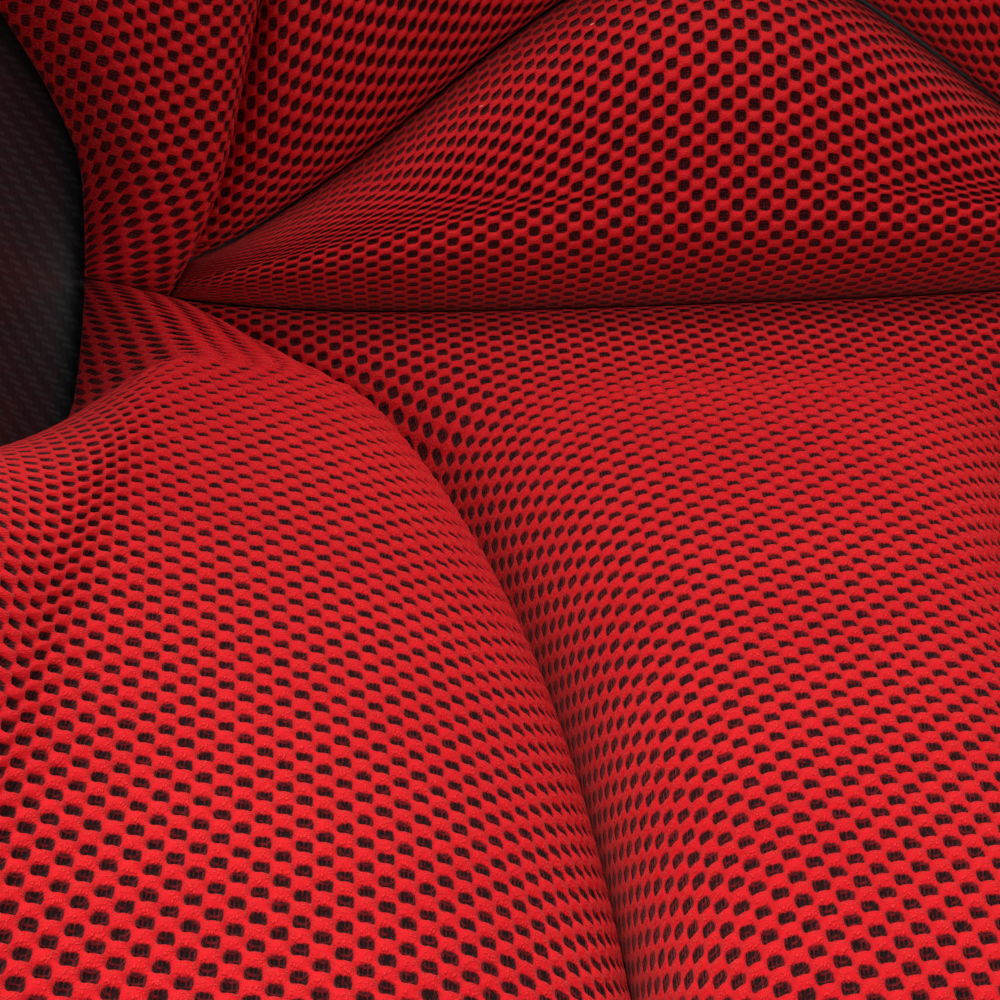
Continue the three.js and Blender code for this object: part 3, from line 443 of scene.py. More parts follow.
    def normal(self, across: Array, distance: Array) -> Array:
        """The unit normal towards the occupant, from differences of the face each way.

        Args:
            across: Shares across the face, from -1 to 1.
            distance: Distances along the side profile, in metres.

        Returns:
            Unit vectors, with X, Y and Z last.
        """
        side = np.clip(across, -0.998, 0.998)
        along = np.clip(distance, 0.001, self.starts[-1] - 0.001)
        u = self.face(side + 0.002, along) - self.face(side - 0.002, along)
        v = self.face(side, along + 0.001) - self.face(side, along - 0.001)
        return unit(np.cross(u, v))

    def raised(self, across: Array, distance: Array, height: Array | float) -> Array:
        """The point that stands a height over the inner face."""
        lift = np.broadcast_to(np.asarray(height, float), np.shape(across))
        return self.face(across, distance) + self.normal(across, distance) * lift[..., None]

    def across_at(self, x: float, distance: float) -> float:
        """The share across at which the inner face reaches an X, by halving.

        Args:
            x: The X to reach, in metres.
            distance: Distance along the side profile, in metres.

        Returns:
            The share across.
        """
        low, high = 0.0, 1.0
        for _ in range(30):
            middle = (low + high) / 2
            if self.face(np.array(middle), np.array(distance))[0] < x:
                low = middle
            else:
                high = middle
        return low


FORM = SeatForm()
BASE_START, HIP_START, BACK_START, HEAD_START, PROFILE_LENGTH = FORM.starts[1:]
HIP_CREASE = (HIP_START + BACK_START) / 2 + 0.018


# ---------------------------------------------------------------- upholstery
@dataclass(frozen=True)
class SpacerCloth:
    """The spacer mesh: pillows in a checkerboard with a rounded hole between each four."""

    column: float = 0.0080
    row: float = 0.0066
    hole_half_u: float = 0.225
    hole_half_v: float = 0.285
    hole_power: float = 3.0
    pillow: float = 0.0017
    pit: float = 0.0016
    wobble: float = 0.10
    threads: tuple[float, float] = (9.0, 7.0)
    stitches: tuple[float, float, float] = (13.0, 15.0, 1.0)
    lint_cells: tuple[float, float, float] = (0.62, 2.3, 1.0)
    lint_threshold: float = 0.988

    def hole(self, u: Array, v: Array) -> Array:
        """Size of the superellipse about the nearest hole that passes through u, v: 1 at the hole's edge.

        Args:
            u: Places across the cloth, counted in columns.
            v: Places along the cloth, counted in rows.

        Returns:
            The sizes, as parts of the hole.
        """
        sizes = []
        for shift in (0.0, 0.5):
            du = np.abs(u - shift - np.round(u - shift)) / self.hole_half_u
            dv = np.abs(v - shift - np.round(v - shift)) / self.hole_half_v
            sizes.append((du**self.hole_power + dv**self.hole_power) ** (1 / self.hole_power))
        return np.minimum(*sizes)

    def relief(self, u: Array, v: Array) -> Array:
        """Height over the cloth's middle: a product of cosines raises the pillows, and holes are sunk.

        Args:
            u: Places across the cloth, counted in columns.
            v: Places along the cloth, counted in rows.

        Returns:
            The heights in metres.
        """
        swell = 0.5 - 0.5 * np.cos(2 * np.pi * u) * np.cos(2 * np.pi * v)
        pit = 1 - smooth(self.hole(u, v), 0.70, 1.20)
        return self.pillow * (swell**0.9 - 0.4) - self.pit * pit


@dataclass(frozen=True)
class Lobe:
    """One puffy lobe: where it lies on the shell's face, how high it is and how its cloth runs."""

    name: str
    place: Place
    height: float
    nodes: tuple[str, ...]
    align: Align = Align.MIDDLE
    mirror: bool = False
    columns: int = 6
    rows: int = 6
    fill: float = 0.9
    gap: float = 0.0045
    rim: float = 0.006
    crown_power: float = 4.0
    crown_root: float = 0.5

    def surface(self, s: Array, t: Array, lift: Array | float = 0.0) -> Array:
        """The lobe's top: the root of (1 - x^4)(1 - y^4) over the shell's face, from border to border.

        Args:
            s: Shares across the lobe, from 0 to 1.
            t: Shares along the lobe, from 0 to 1.
            lift: Height to add, in metres.

        Returns:
            Points of the surface.
        """
        across, distance = self.place(s, t)
        x, y = np.abs(2 * s - 1) ** self.crown_power, np.abs(2 * t - 1) ** self.crown_power
        crown = np.maximum((1 - x) * (1 - y), 0) ** self.crown_root
        return FORM.raised(across, distance, self.gap + (self.rim + self.height) * crown + lift)

    def cloth_lines(self, cloth: SpacerCloth, samples: int = 240) -> tuple[Array, ...]:
        """Where the cloth's own rows and columns fall on the lobe.

        Rows are even along the arc length of the middle line, and columns along that of each row.

        Args:
            cloth: The cloth, whose cells set the spacing.
            samples: How finely the arc lengths are measured.

        Returns:
            Shares s and t, cloth coordinates u and v, and the first and last column of each row.
        """
        even = (1 - np.cos(np.linspace(0, np.pi, samples))) / 2
        middle = self.surface(np.full(samples, 0.5), even)
        length = np.concatenate([[0], np.cumsum(np.linalg.norm(np.diff(middle, axis=0), axis=1))])
        step_v = cloth.row / self.rows
        stops = np.append(np.arange(0, length[-1] - step_v / 2, step_v), length[-1])
        t = np.interp(stops, length, even)
        line = self.surface(*np.broadcast_arrays(even[None, :], t[:, None]))
        widths = np.linalg.norm(np.diff(line, axis=1), axis=2)
        arcs = np.concatenate([np.zeros((len(t), 1)), np.cumsum(widths, axis=1)], axis=1)
        total = arcs[:, -1]
        start, end = -total * self.align.value, total * (1 - self.align.value)
        step_u = cloth.column / self.columns
        first = np.floor(start.min() / step_u).astype(int)
        count = np.ceil(end.max() / step_u).astype(int) - first + 1
        column = (first + np.arange(count)) * step_u
        places = np.clip(column[None, :], start[:, None], end[:, None])
        s = np.stack([np.interp(places[j] - start[j], arcs[j], even) for j in range(len(t))])
        low = np.searchsorted(column, start + step_u * 0.05) - 1
        high = np.searchsorted(column, end - step_u * 0.05)
        low, high = np.clip(low, 0, count - 1), np.clip(high, 0, count - 1)
        tt = np.broadcast_to(t[:, None], s.shape)
        v = np.broadcast_to((stops / cloth.row)[:, None], s.shape)
        return s, tt, places / cloth.column, v, low, high

    def build(self, cloth: SpacerCloth, backing: int = 18) -> bpy.types.Object:
        """Makes the closed lobe: its cloth on top, and a plain back that is stitched to the border.

        Args:
            cloth: The cloth whose relief is raised on the top.
            backing: Cells each way on the back.

        Returns:
            The piece.
        """
        s, t, u, v, low, high = self.cloth_lines(cloth)
        rows, columns = s.shape
        edge = np.minimum(np.minimum(s, 1 - s), np.minimum(t, 1 - t))
        fade = smooth(edge, 0.0, 0.004)
        top = self.surface(s, t, cloth.relief(u, v) * fade)
        clamped = np.clip(np.arange(columns)[None, :], low[:, None], high[:, None])
        index = np.arange(rows)[:, None] * columns + clamped
        faces = [quads(index[:-1, :-1], index[:-1, 1:], index[1:, 1:], index[1:, :-1])]

        share = np.linspace(0, 1, backing + 1)[1:-1]
        back_s, back_t = np.meshgrid(share, share)
        across, distance = self.place(back_s, back_t)
        back = FORM.raised(across, distance, self.gap)
        inside = backing - 1
        grid = rows * columns + np.arange(inside * inside).reshape(inside, inside)
        faces.append(quads(grid[:-1, :-1], grid[1:, :-1], grid[1:, 1:], grid[:-1, 1:]))
        for outer, inner in self._borders(index, low, high, grid):
            faces.append(quads(outer[:-1], inner[:-1], inner[1:], outer[1:]))
        points = np.concatenate([top.reshape(-1, 3), back.reshape(-1, 3)])
        uv = np.concatenate([np.stack([u, v], -1).reshape(-1, 2), np.zeros((inside * inside, 2))])
        if self.mirror:
            points = points * np.array([-1, 1, 1])
        piece = make_piece(self.name, points, np.concatenate(faces), uv)
        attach(piece, "seat")
        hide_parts(*self.nodes)
        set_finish(piece, Slot.MESH.value)
        return piece

    @staticmethod
    def _borders(index: Array, low: Array, high: Array, grid: Array) -> list[tuple[Array, Array]]:
        """Pairs each border vertex of the top with the nearest vertex of the back's own border.

        Args:
            index: The top's vertex indices.
            low: First column of each row.
            high: Last column of each row.
            grid: The back's vertex indices.

        Returns:
            Four pairs of equally long index rows, in order round the border.
        """
        last = len(grid) - 1
        rows = len(index)

        def nearest(count: int) -> Array:
            """The row's nearest point to each of evenly spaced places."""
            share = np.linspace(0, 1, count)
            return np.clip(np.round(share * (last + 2)).astype(int) - 1, 0, last)

        front = index[0, low[0]:high[0] + 1]
        rear = index[-1, low[-1]:high[-1] + 1][::-1]
        right = index[np.arange(rows), high]
        left = index[np.arange(rows), low][::-1]
        return [
            (front, grid[0, nearest(len(front))]),
            (right, grid[nearest(rows), last]),
            (rear, grid[last, nearest(len(rear))[::-1]]),
            (left, grid[nearest(rows)[::-1], 0]),
        ]


@dataclass
class Upholstery(SubAssembly):
    """The fan of lobes that meet beside the hips, the shoulder pads and the head pad."""

    cloth: SpacerCloth = field(default_factory=SpacerCloth)
    seam: float = 0.0012
    crease: float = 0.45
    front_crease: float = 0.14
    crease_power: float = 4.6
    wing: float = 0.9
    hip: float = 0.53
    back_top_across: float = 0.22
    cushion_front: float = 0.030
    crease_gap: float = 0.0008
    lumbar_start: float = 0.012
    lumbar_rise: float = 0.100
    arch_power: float = 1.25
    back_crease_power: float = 2.2
    lumbar_seam: float = 0.0015
    back_length: float = 0.470
    shoulder_rise: float = 0.560

    def __post_init__(self) -> None:
        """Places the cushion's rear end and the back's two ends on the profile."""
        self.cushion_rear = HIP_CREASE - self.crease_gap / 2
        self.back_low = HIP_CREASE + self.crease_gap / 2
        self.back_top = BACK_START + self.back_length

    def cushion_crease(self, t: Array) -> Array:
        """The crease between the cushion's lobes turns out to the hip late, as t^4.6."""
        return lerp(self.front_crease, self.crease, t**self.crease_power)

    def back_crease(self, distance: Array) -> Array:
        """The crease beside the back eases inwards as 1 - (1 - t)^2.2."""
        t = np.clip((distance - self.back_low) / (self.back_top - self.back_low), 0, 1)
        return lerp(self.crease, self.back_top_across, 1 - (1 - t) ** self.back_crease_power)

    def cushion_side(self, s: Array, t: Array) -> tuple[Array, Array]:
        """Side lobe of the cushion, from the crease out to the wing.

        Args:
            s: Shares across the lobe, from 0 to 1.
            t: Shares along the lobe, from 0 to 1.

        Returns:
            Shares across the shell and distances along it.
        """
        outer = lerp(self.wing, self.hip, smooth(t, 0.45, 0.9))
        across = lerp(self.cushion_crease(t) + self.seam, outer, s)
        return -across, lerp(self.cushion_front, self.cushion_rear, t)

    def cushion_centre(self, s: Array, t: Array) -> tuple[Array, Array]:
        """Centre lobe of the cushion, between the two creases."""
        half = self.cushion_crease(t) - self.seam
        return lerp(-half, half, s), lerp(self.cushion_front, self.cushion_rear, t)

    def bolster(self, s: Array, t: Array) -> tuple[Array, Array]:
        """Side bolster of the back, from the crease out to the wing.

        Args:
            s: Shares across the lobe, from 0 to 1.
            t: Shares along the lobe, from 0 to 1.

        Returns:
            Shares across the shell and distances along it.
        """
        distance = lerp(self.back_low, self.back_top, t)
        outer = lerp(self.hip, self.wing, smooth(t, 0.06, 0.42))
        return -lerp(self.back_crease(distance) + self.seam, outer, s), distance

    def arch(self, s: Array) -> Array:
        """The lumbar lobe's upper border: an arch, (1 - x^2)^1.25 high."""
        height = (1 - (2 * s - 1) ** 2) ** self.arch_power
        return self.back_low + self.lumbar_start + self.lumbar_rise * height

    def lumbar(self, s: Array, t: Array) -> tuple[Array, Array]:
        """The lumbar lobe, under the arch.

        Args:
            s: Shares across the lobe, from 0 to 1.
            t: Shares along the lobe, from 0 to 1.

        Returns:
            Shares across the shell and distances along it.
        """
        distance = lerp(self.back_low, self.arch(s), t)
        half = self.back_crease(distance) - self.seam
        return lerp(-half, half, s), distance

    def back(self, s: Array, t: Array) -> tuple[Array, Array]:
        """The back's main lobe, over the arch.

        Args:
            s: Shares across the lobe, from 0 to 1.
            t: Shares along the lobe, from 0 to 1.

        Returns:
            Shares across the shell and distances along it.
        """
        distance = lerp(self.arch(s) + self.lumbar_seam, self.back_top, t)
        half = self.back_crease(distance) - self.seam
        return lerp(-half, half, s), distance

    def shoulder(self, s: Array, t: Array) -> tuple[Array, Array]:
        """Shoulder pad on the wing over the bolster."""
        return -lerp(0.6, self.wing - 0.02, s), lerp(self.back_top + 0.008, self.back_top + 0.112, t)

    def head(self, s: Array, t: Array) -> tuple[Array, Array]:
        """Head pad between the shoulder slots and the top edge."""
        low = BACK_START + self.shoulder_rise + 0.034
        return lerp(-0.62, 0.62, s), lerp(low, PROFILE_LENGTH - 0.022, t)

    def lobes(self) -> list[Lobe]:
        """Every lobe, with the CAD solid that it stands for.

        Returns:
            The lobes, unbuilt.
        """
        close = {"columns": 8, "rows": 8}
        made = [
            Lobe("mesh_cushion_centre", self.cushion_centre, 0.041, ("cushion_lobe_centre",), **close),
            Lobe("mesh_lumbar", self.lumbar, 0.040, ("lumbar_lobe",), columns=8, rows=6),
            Lobe("mesh_back", self.back, 0.032, ("back_lobe",)),
            Lobe("mesh_head", self.head, 0.030, ("head_pad",), fill=0.8),
        ]
        for side, mirror in (("left", False), ("right", True)):
            near = close if side == "left" else {}
            made += [
                Lobe(f"mesh_cushion_{side}", self.cushion_side, 0.048, (f"cushion_lobe_{side}",),
                     align=Align.LOW, mirror=mirror, **near),
                Lobe(f"mesh_bolster_{side}", self.bolster, 0.032, (f"back_bolster_{side}",),
                     align=Align.LOW, mirror=mirror),
                Lobe(f"mesh_shoulder_{side}", self.shoulder, 0.022, (f"shoulder_pad_{side}",),
                     align=Align.LOW, mirror=mirror, fill=0.8),
            ]
        return made

    def build(self) -> None:
        """Makes every lobe."""
        self.pieces = [lobe.build(self.cloth) for lobe in self.lobes()]


# ---------------------------------------------------------------- shell, trim and slots
@dataclass(frozen=True)
class HarnessSlot:
    """One slot through the wall, as a stadium on the shell's face."""

    name: str
    across: float
    distance: float
    length: float
    width: float = 0.024
    upright: bool = False

    def metres_per_share(self) -> float:
        """Metres on the face for one share across it, measured at the slot's middle.

        Returns:
            The metres.
        """
        step = 0.002
        at = np.array(self.distance)
        left, right = (FORM.face(np.array(self.across + move), at) for move in (-step, step))
        return np.linalg.norm(right - left) / (2 * step)

    def local(self, across: Array, distance: Array) -> tuple[Array, Array]:
        """Distances from the slot's middle along its length and across it, on the face's own lines.

        Args:
            across: Shares across the face, from -1 to 1.
            distance: Distances along the side profile, in metres.

        Returns:
            Metres along the slot and metres over it.
        """
        per_across = self.metres_per_share()
        side, up = (across - self.across) * per_across, distance - self.distance
        return (up, side) if self.upright else (side, up)

    def inside(self, across: Array, distance: Array, margin: float) -> Array:
        """Whether points lie in the stadium grown by a margin: the distance to its middle line.

        Args:
            across: Shares across the face, from -1 to 1.
            distance: Distances along the side profile, in metres.
            margin: How far the stadium grows, in metres.

        Returns:
            True where a point lies in it.
        """
        along, over = self.local(across, distance)
        straight = (self.length - self.width) / 2
        past = np.maximum(np.abs(along) - straight, 0)
        return np.hypot(past, over) < self.width / 2 + margin

    def ring(self, steps: int = 96) -> tuple[Array, Array, Array]:
        """The stadium's outline on the face.

        Args:
            steps: Points round the outline.

        Returns:
            Points, outward directions along the face, and normals.
        """
        radius, straight = self.width / 2, (self.length - self.width) / 2
        angle = np.linspace(0, 2 * np.pi, steps, endpoint=False) + 1e-4
        along = np.cos(angle) * radius + np.where(np.cos(angle) > 0, straight, -straight)
        over = np.sin(angle) * radius

        def on_face(x: Array, y: Array) -> tuple[Array, Array]:
            """Lays lengths along and over the slot on the face.

            Args:
                x: Metres along the slot.
                y: Metres over the slot.

            Returns:
                Shares across the face and distances along it.
            """
            per = self.metres_per_share()
            side, up = (y, x) if self.upright else (x, y)
            return self.across + side / per, self.distance + up

        here = on_face(along, over)
        there = on_face(along + np.cos(angle) * MM, over + np.sin(angle) * MM)
        points = FORM.face(*here)
        return points, unit(FORM.face(*there) - points), FORM.normal(*here)


@dataclass
class Bucket(SubAssembly):
    """The moulded shell, its bosses, the push-on trim and the four slot bezels."""

    cells_across: int = 130
    cells_along: int = 200
    boss_face: float = 0.246
    boss_radius: float = 0.017
    boss_z: float = 0.172
    boss_y: tuple[float, float] = (-0.220, 0.070)
    boss_depths: tuple[float, ...] = (0.0, 0.0, 0.0008, 0.0030, 0.0060, 0.0090, 0.0130, 0.0130)
    boss_swells: tuple[float, ...] = (0.44, 0.93, 1.0, 1.0, 1.03, 1.12, 1.3, 0.44)

    def __post_init__(self) -> None:
        """Places the shoulder and lap slots on the right half."""
        at = BACK_START + 0.560
        self.slots = [
            HarnessSlot("shoulder", FORM.across_at(0.096, at), at, 0.072),
            HarnessSlot("lap", 0.74, BACK_START + 0.016, 0.062, upright=True),
        ]

    def outline(self, s: Array, t: Array) -> tuple[Array, Array]:
        """Rounds the square of shares to a superellipse, so that the shell's outline has round corners.

        Args:
            s: Shares across the shell, from 0 to 1.
            t: Shares along it, from 0 to 1.

        Returns:
            Shares across the face and distances along it.
        """
        x, y = 2 * s - 1, 2 * t - 1
        ring = np.maximum(np.maximum(np.abs(x), np.abs(y)), 1e-9)
        total = (np.abs(x) / ring) ** FORM.corner_power + (np.abs(y) / ring) ** FORM.corner_power
        pull = lerp(1, np.maximum(total, 1.0) ** (-1 / FORM.corner_power), ring**4)
        return x * pull, PROFILE_LENGTH * (1 + y * pull) / 2

    def build(self) -> None:
        """Makes the shell, then what is fixed to it."""
        self.build_shell()
        self.build_bosses()
        self.build_trim()
        self.build_bezels()

    def build_shell(self) -> None:
        """Makes the wall: two faces a wall's thickness apart, open at the slots."""
        s, t = np.meshgrid(np.linspace(0, 1, self.cells_across + 1), np.linspace(0, 1, self.cells_along + 1))
        across, distance = self.outline(s, t)
        inner, outer = FORM.face(across, distance), FORM.raised(across, distance, -FORM.wall)
        grid = np.arange(across.size).reshape(across.shape)
        middle_a = (across[:-1, :-1] + across[1:, 1:]) / 2
        middle_d = (distance[:-1, :-1] + distance[1:, 1:]) / 2
        keep = np.ones(middle_a.shape, bool)
        for slot in self.slots:
            keep &= ~slot.inside(np.abs(middle_a), middle_d, 2 * MM)
        faces = walled_sheet(grid, grid + grid.size, keep)
        points = np.concatenate([inner.reshape(-1, 3), outer.reshape(-1, 3)])
        flat = np.stack([across * 0.34, distance], -1).reshape(-1, 2) / MM
        shell = make_piece("laminate_shell", points, faces, np.concatenate([flat, flat]))
        self.keep(shell, "seat", Slot.LAMINATE, "shell")

    def build_bosses(self) -> None:
        """Makes the four bosses that the bolts pull against: turned profiles that flare into the wall."""
        for side in (-1, 1):
            for end, y in zip(("front", "rear"), self.boss_y, strict=True):
                depth = np.array(self.boss_depths)
                radius = self.boss_radius * np.array(self.boss_swells)
                x = side * (self.boss_face - depth)
                turn = np.linspace(0, 2 * np.pi, 56, endpoint=False)
                direction = np.stack([np.zeros_like(turn), np.cos(turn), np.sin(turn)], 1)
                path = np.tile([0.0, y, self.boss_z], (len(turn), 1))
                first = np.tile([1.0, 0.0, 0.0], (len(turn), 1))
                points, faces = sweep(path, first, direction, np.stack([x, radius], 1), True)
                name = "left" if side < 0 else "right"
                boss = make_piece(f"shell_boss_{end}_{name}", points, faces, points[:, 1:] / MM)
                self.keep(boss, "seat", Slot.LAMINATE)

    def build_trim(self) -> None:
        """Makes the push-on trim: a bulbed U section carried round the whole edge of the shell."""
        across_n, along_n = self.cells_across, self.cells_along
        side = np.concatenate([
            np.stack([np.arange(across_n), np.zeros(across_n)], 1),
            np.stack([np.full(along_n, across_n), np.arange(along_n)], 1),
            np.stack([np.arange(across_n, 0, -1), np.full(across_n, along_n)], 1),
            np.stack([np.zeros(along_n), np.arange(along_n, 0, -1)], 1),
        ])
        across, distance = self.outline(side[:, 0] / across_n, side[:, 1] / along_n)
        near = np.clip(side, 2, [across_n - 2, along_n - 2])
        in_across, in_distance = self.outline(near[:, 0] / across_n, near[:, 1] / along_n)
        edge = FORM.raised(across, distance, -FORM.wall / 2)
        normal = FORM.normal(across, distance)
        inwards = FORM.raised(in_across, in_distance, -FORM.wall / 2) - edge
        tangent = unit(np.roll(edge, -1, 0) - np.roll(edge, 1, 0))
        inwards = unit(inwards - np.sum(inwards * tangent, 1, keepdims=True) * tangent)
        section = np.array([
            [7.0, 2.5], [7.0, 4.0], [5.6, 4.7], [3.0, 4.8], [0.4, 4.5], [-1.6, 3.4], [-2.7, 1.8], [-3.1, 0.0],
            [-2.7, -1.8], [-1.6, -3.4], [0.4, -4.5], [3.0, -4.8], [5.6, -4.7], [7.0, -4.0], [7.0, -2.5],
            [0.2, -2.3], [-0.3, 0.0], [0.2, 2.3],
        ]) * MM
        points, faces = sweep(edge, inwards, normal, section, True)
        trim = make_piece("rubber_edge_trim", points, faces)
        self.keep(trim, "seat", Slot.RUBBER, "edge_trim")

    def build_bezels(self) -> None:
        """Makes the bezels: a section with two flanges carried round each slot."""
        section = np.array([
            [-2.4, -7.4], [-1.0, -8.2], [3.0, -7.9], [5.6, -6.6], [6.0, -5.4], [6.0, -4.4], [-0.4, -4.4],
            [-0.4, 0.4], [6.0, 0.4], [6.0, 1.4], [5.6, 2.6], [3.0, 3.9], [-1.0, 4.2], [-2.4, 3.4],
        ]) * MM
        for slot in self.slots:
            ring, away, normal = slot.ring()
            points, faces = sweep(ring, away, normal, section, True)
            for side, sign in (("right", 1), ("left", -1)):
                bezel = make_piece(f"bezel_{slot.name}_{side}", points * np.array([sign, 1, 1]), faces)
                self.keep(bezel, "seat", Slot.MOULDING, f"{slot.name}_slot_trim_{side}")


# ---------------------------------------------------------------- release gear
@dataclass
class ReleaseGear(SubAssembly):
    """The bent release bar, its ribbed grip and the springs on its pivots, with the bar lifted."""

    pivot_y: float = -0.060
    pivot_z: float = 0.042
    lift: float = 10.0
    front_y: float = -0.326
    leg_x: float = 0.1826
    leg_end_y: float = -0.076
    bend: float = 0.034
    bar_radius: float = 0.0055
    grip_length: float = 0.130
    grip_radius: float = 0.008
    ribs: int = 22
    rib_depth: float = 0.0007
    bead_height: float = 0.0012
    bead_share: float = 0.035
    grip_clearance: float = 0.0003
    spring_radius: float = 0.0052
    wire_radius: float = 0.0007
    spring_turns: int = 3
    spring_pitch: float = 2.25
    wire_share: float = 0.95
    spring_start: float = 0.1963

    def lifted(self, points: Array) -> Array:
        """Turns points about the pivot's X axis by the lift.

        Args:
            points: Points with the bar at rest.

        Returns:
            The turned points.
        """
        angle = math.radians(self.lift)
        y, z = points[:, 1] - self.pivot_y, points[:, 2] - self.pivot_z
        turned_y = y * math.cos(angle) + z * math.sin(angle)
        turned_z = z * math.cos(angle) - y * math.sin(angle)
        return np.stack([points[:, 0], self.pivot_y + turned_y, self.pivot_z + turned_z], 1)

    def build(self) -> None:
        """Makes the bar, its grip and its springs."""
        self.build_bar()
        self.build_grip()
        self.build_springs()

    def build_bar(self) -> None:
        """Makes the bar: a round section along two legs, two quarter bends and the front run."""
        turn = np.linspace(0, np.pi / 2, 14)
        corner_x = self.leg_x - self.bend + self.bend * np.cos(turn)
        corner_y = self.front_y + self.bend - self.bend * np.sin(turn)
        half_x = np.concatenate([[self.leg_x, self.leg_x], corner_x, [0.04]])
        half_y = np.concatenate([[self.leg_end_y, -0.17], corner_y, [self.front_y]])
        x = np.concatenate([-half_x, half_x[::-1]])
        y = np.concatenate([half_y, half_y[::-1]])
        path = np.stack([x, y, np.full_like(x, self.pivot_z)], 1)
        tangent = unit(np.gradient(path, axis=0))
        up = np.tile([0.0, 0.0, 1.0], (len(path), 1))
        section = circle(self.bar_radius, 28)
        points, faces = sweep(path, np.cross(up, tangent), up, section, False)
        bar = make_piece("coated_release_bar", self.lifted(points), faces)
        self.keep(bar, "release", Slot.POWDER_COAT, "release_bar")

    def build_grip(self) -> None:
        """Makes the grip: a hollow sleeve whose radius swells at each rib and at its two end beads."""
        share = np.linspace(0, 1, self.ribs * 8 + 1)
        rib = 0.5 - 0.5 * np.cos(2 * np.pi * self.ribs * share)
        bead = 1 - smooth(np.minimum(share, 1 - share), 0.0, self.bead_share)
        outer = self.grip_radius - self.rib_depth * rib * (1 - bead) + self.bead_height * bead
        x = (share - 0.5) * self.grip_length
        inner = np.full(2, self.bar_radius + self.grip_clearance)
        profile = np.stack([np.append(x, x[[-1, 0]]), np.append(outer, inner)], 1)
        turn = np.linspace(0, 2 * np.pi, 40, endpoint=False)
        direction = np.stack([np.zeros_like(turn), np.cos(turn), np.sin(turn)], 1)
        path = np.tile([0.0, self.front_y, self.pivot_z], (len(turn), 1))
        first = np.tile([1.0, 0.0, 0.0], (len(turn), 1))
        points, faces = sweep(path, first, direction, profile, True)
        grip = make_piece("ribbed_release_grip", self.lifted(points), faces)
        self.keep(grip, "release", Slot.RUBBER, "release_grip")

    def build_springs(self) -> None:
        """Makes the springs: wire wound as a helix, angle and X even along its length."""
        share = np.linspace(0, 1, 90)
        angle = 2 * np.pi * self.spring_turns * share
        x = self.spring_start + share * self.spring_turns * self.wire_radius * self.spring_pitch
        out = np.stack([np.zeros_like(angle), np.cos(angle), np.sin(angle)], 1)
        path = out * self.spring_radius + np.array([0.0, self.pivot_y, self.pivot_z])
        path[:, 0] = x
        along = unit(np.gradient(path, axis=0))
        section = circle(self.wire_radius * self.wire_share, 10)
        points, faces = sweep(path, out, np.cross(along, out), section, False)
        for side, sign in (("right", 1), ("left", -1)):
            spring = make_piece(f"wound_spring_{side}", points * np.array([sign, 1, 1]), faces)
            self.keep(spring, "seat", Slot.SPRING, f"return_spring_{side}")


@dataclass
class PackedHardware(SubAssembly):
    """The rails, brackets, lock and fasteners, which show as the CAD has them."""

    def build(self) -> None:
        """Collects the CAD nodes that still show."""
        self.pieces = [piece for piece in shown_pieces() if not piece.get("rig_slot")]

    def dress(self, finishes: dict[Slot, bpy.types.Material]) -> None:
        """Gives each node the finish of its slot in the record.

        Args:
            finishes: The materials by slot.
        """
        slots = {part["node"]: part["material_slot"] for part in frame["record"]["subparts"]}
        for piece in self.pieces:
            wear(piece, finishes[Slot(slots[piece["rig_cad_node"]])])


# ---------------------------------------------------------------- finishes
class Tree:
    """Adds nodes to a node tree and joins them, so that a finish reads as a list of steps."""

    def __init__(self, tree: bpy.types.NodeTree) -> None:
        """Keeps the tree, emptied."""
        self.tree = tree
        self.tree.nodes.clear()

    def add(self, kind: str, values: dict | None = None, **settings: object) -> bpy.types.Node:
        """Adds a node.

        Args:
            kind: The node's type, without the word ShaderNode in front.
            values: Input name or number to a value, or to a socket that is joined to it.
            settings: The node's own settings.

        Returns:
            The node.
        """
        node = self.tree.nodes.new(kind if kind.startswith("NodeGroup") else f"ShaderNode{kind}")
        for name, value in settings.items():
            setattr(node, name, value)
        for key, value in (values or {}).items():
            if isinstance(value, bpy.types.NodeSocket):
                self.join(value, node.inputs[key])
            else:
                node.inputs[key].default_value = value
        return node

    def join(self, value: bpy.types.NodeSocket, socket: bpy.types.NodeSocket) -> None:
        """Joins an output to an input."""
        self.tree.links.new(value, socket)

    def math(self, operation: str, *values: object) -> bpy.types.NodeSocket:
        """A Math node's result."""
        return self.add("Math", dict(enumerate(values)), operation=operation).outputs[0]

    def vector(self, operation: str, *values: object) -> bpy.types.NodeSocket:
        """A Vector Math node's result."""
        return self.add("VectorMath", dict(enumerate(values)), operation=operation).outputs[0]

    def ramp(
        self, value: bpy.types.NodeSocket, low: float, high: float, start: float = 0.0, end: float = 1.0,
    ) -> bpy.types.NodeSocket:
        """Eases from start at low to end at high."""
        values = {"Value": value, 1: low, 2: high, 3: start, 4: end}
        return self.add("MapRange", values, interpolation_type="SMOOTHSTEP").outputs[0]

    def mix(self, share: object, a: object, b: object) -> bpy.types.NodeSocket:
        """A mix of two colours."""
        return self.add("Mix", {0: share, 6: a, 7: b}, data_type="RGBA").outputs[2]

    def bump(self, height: bpy.types.NodeSocket, strength: float, distance: float) -> bpy.types.NodeSocket:
        """A normal from a height."""
        return self.add("Bump", {"Height": height, "Strength": strength, "Distance": distance}).outputs[0]


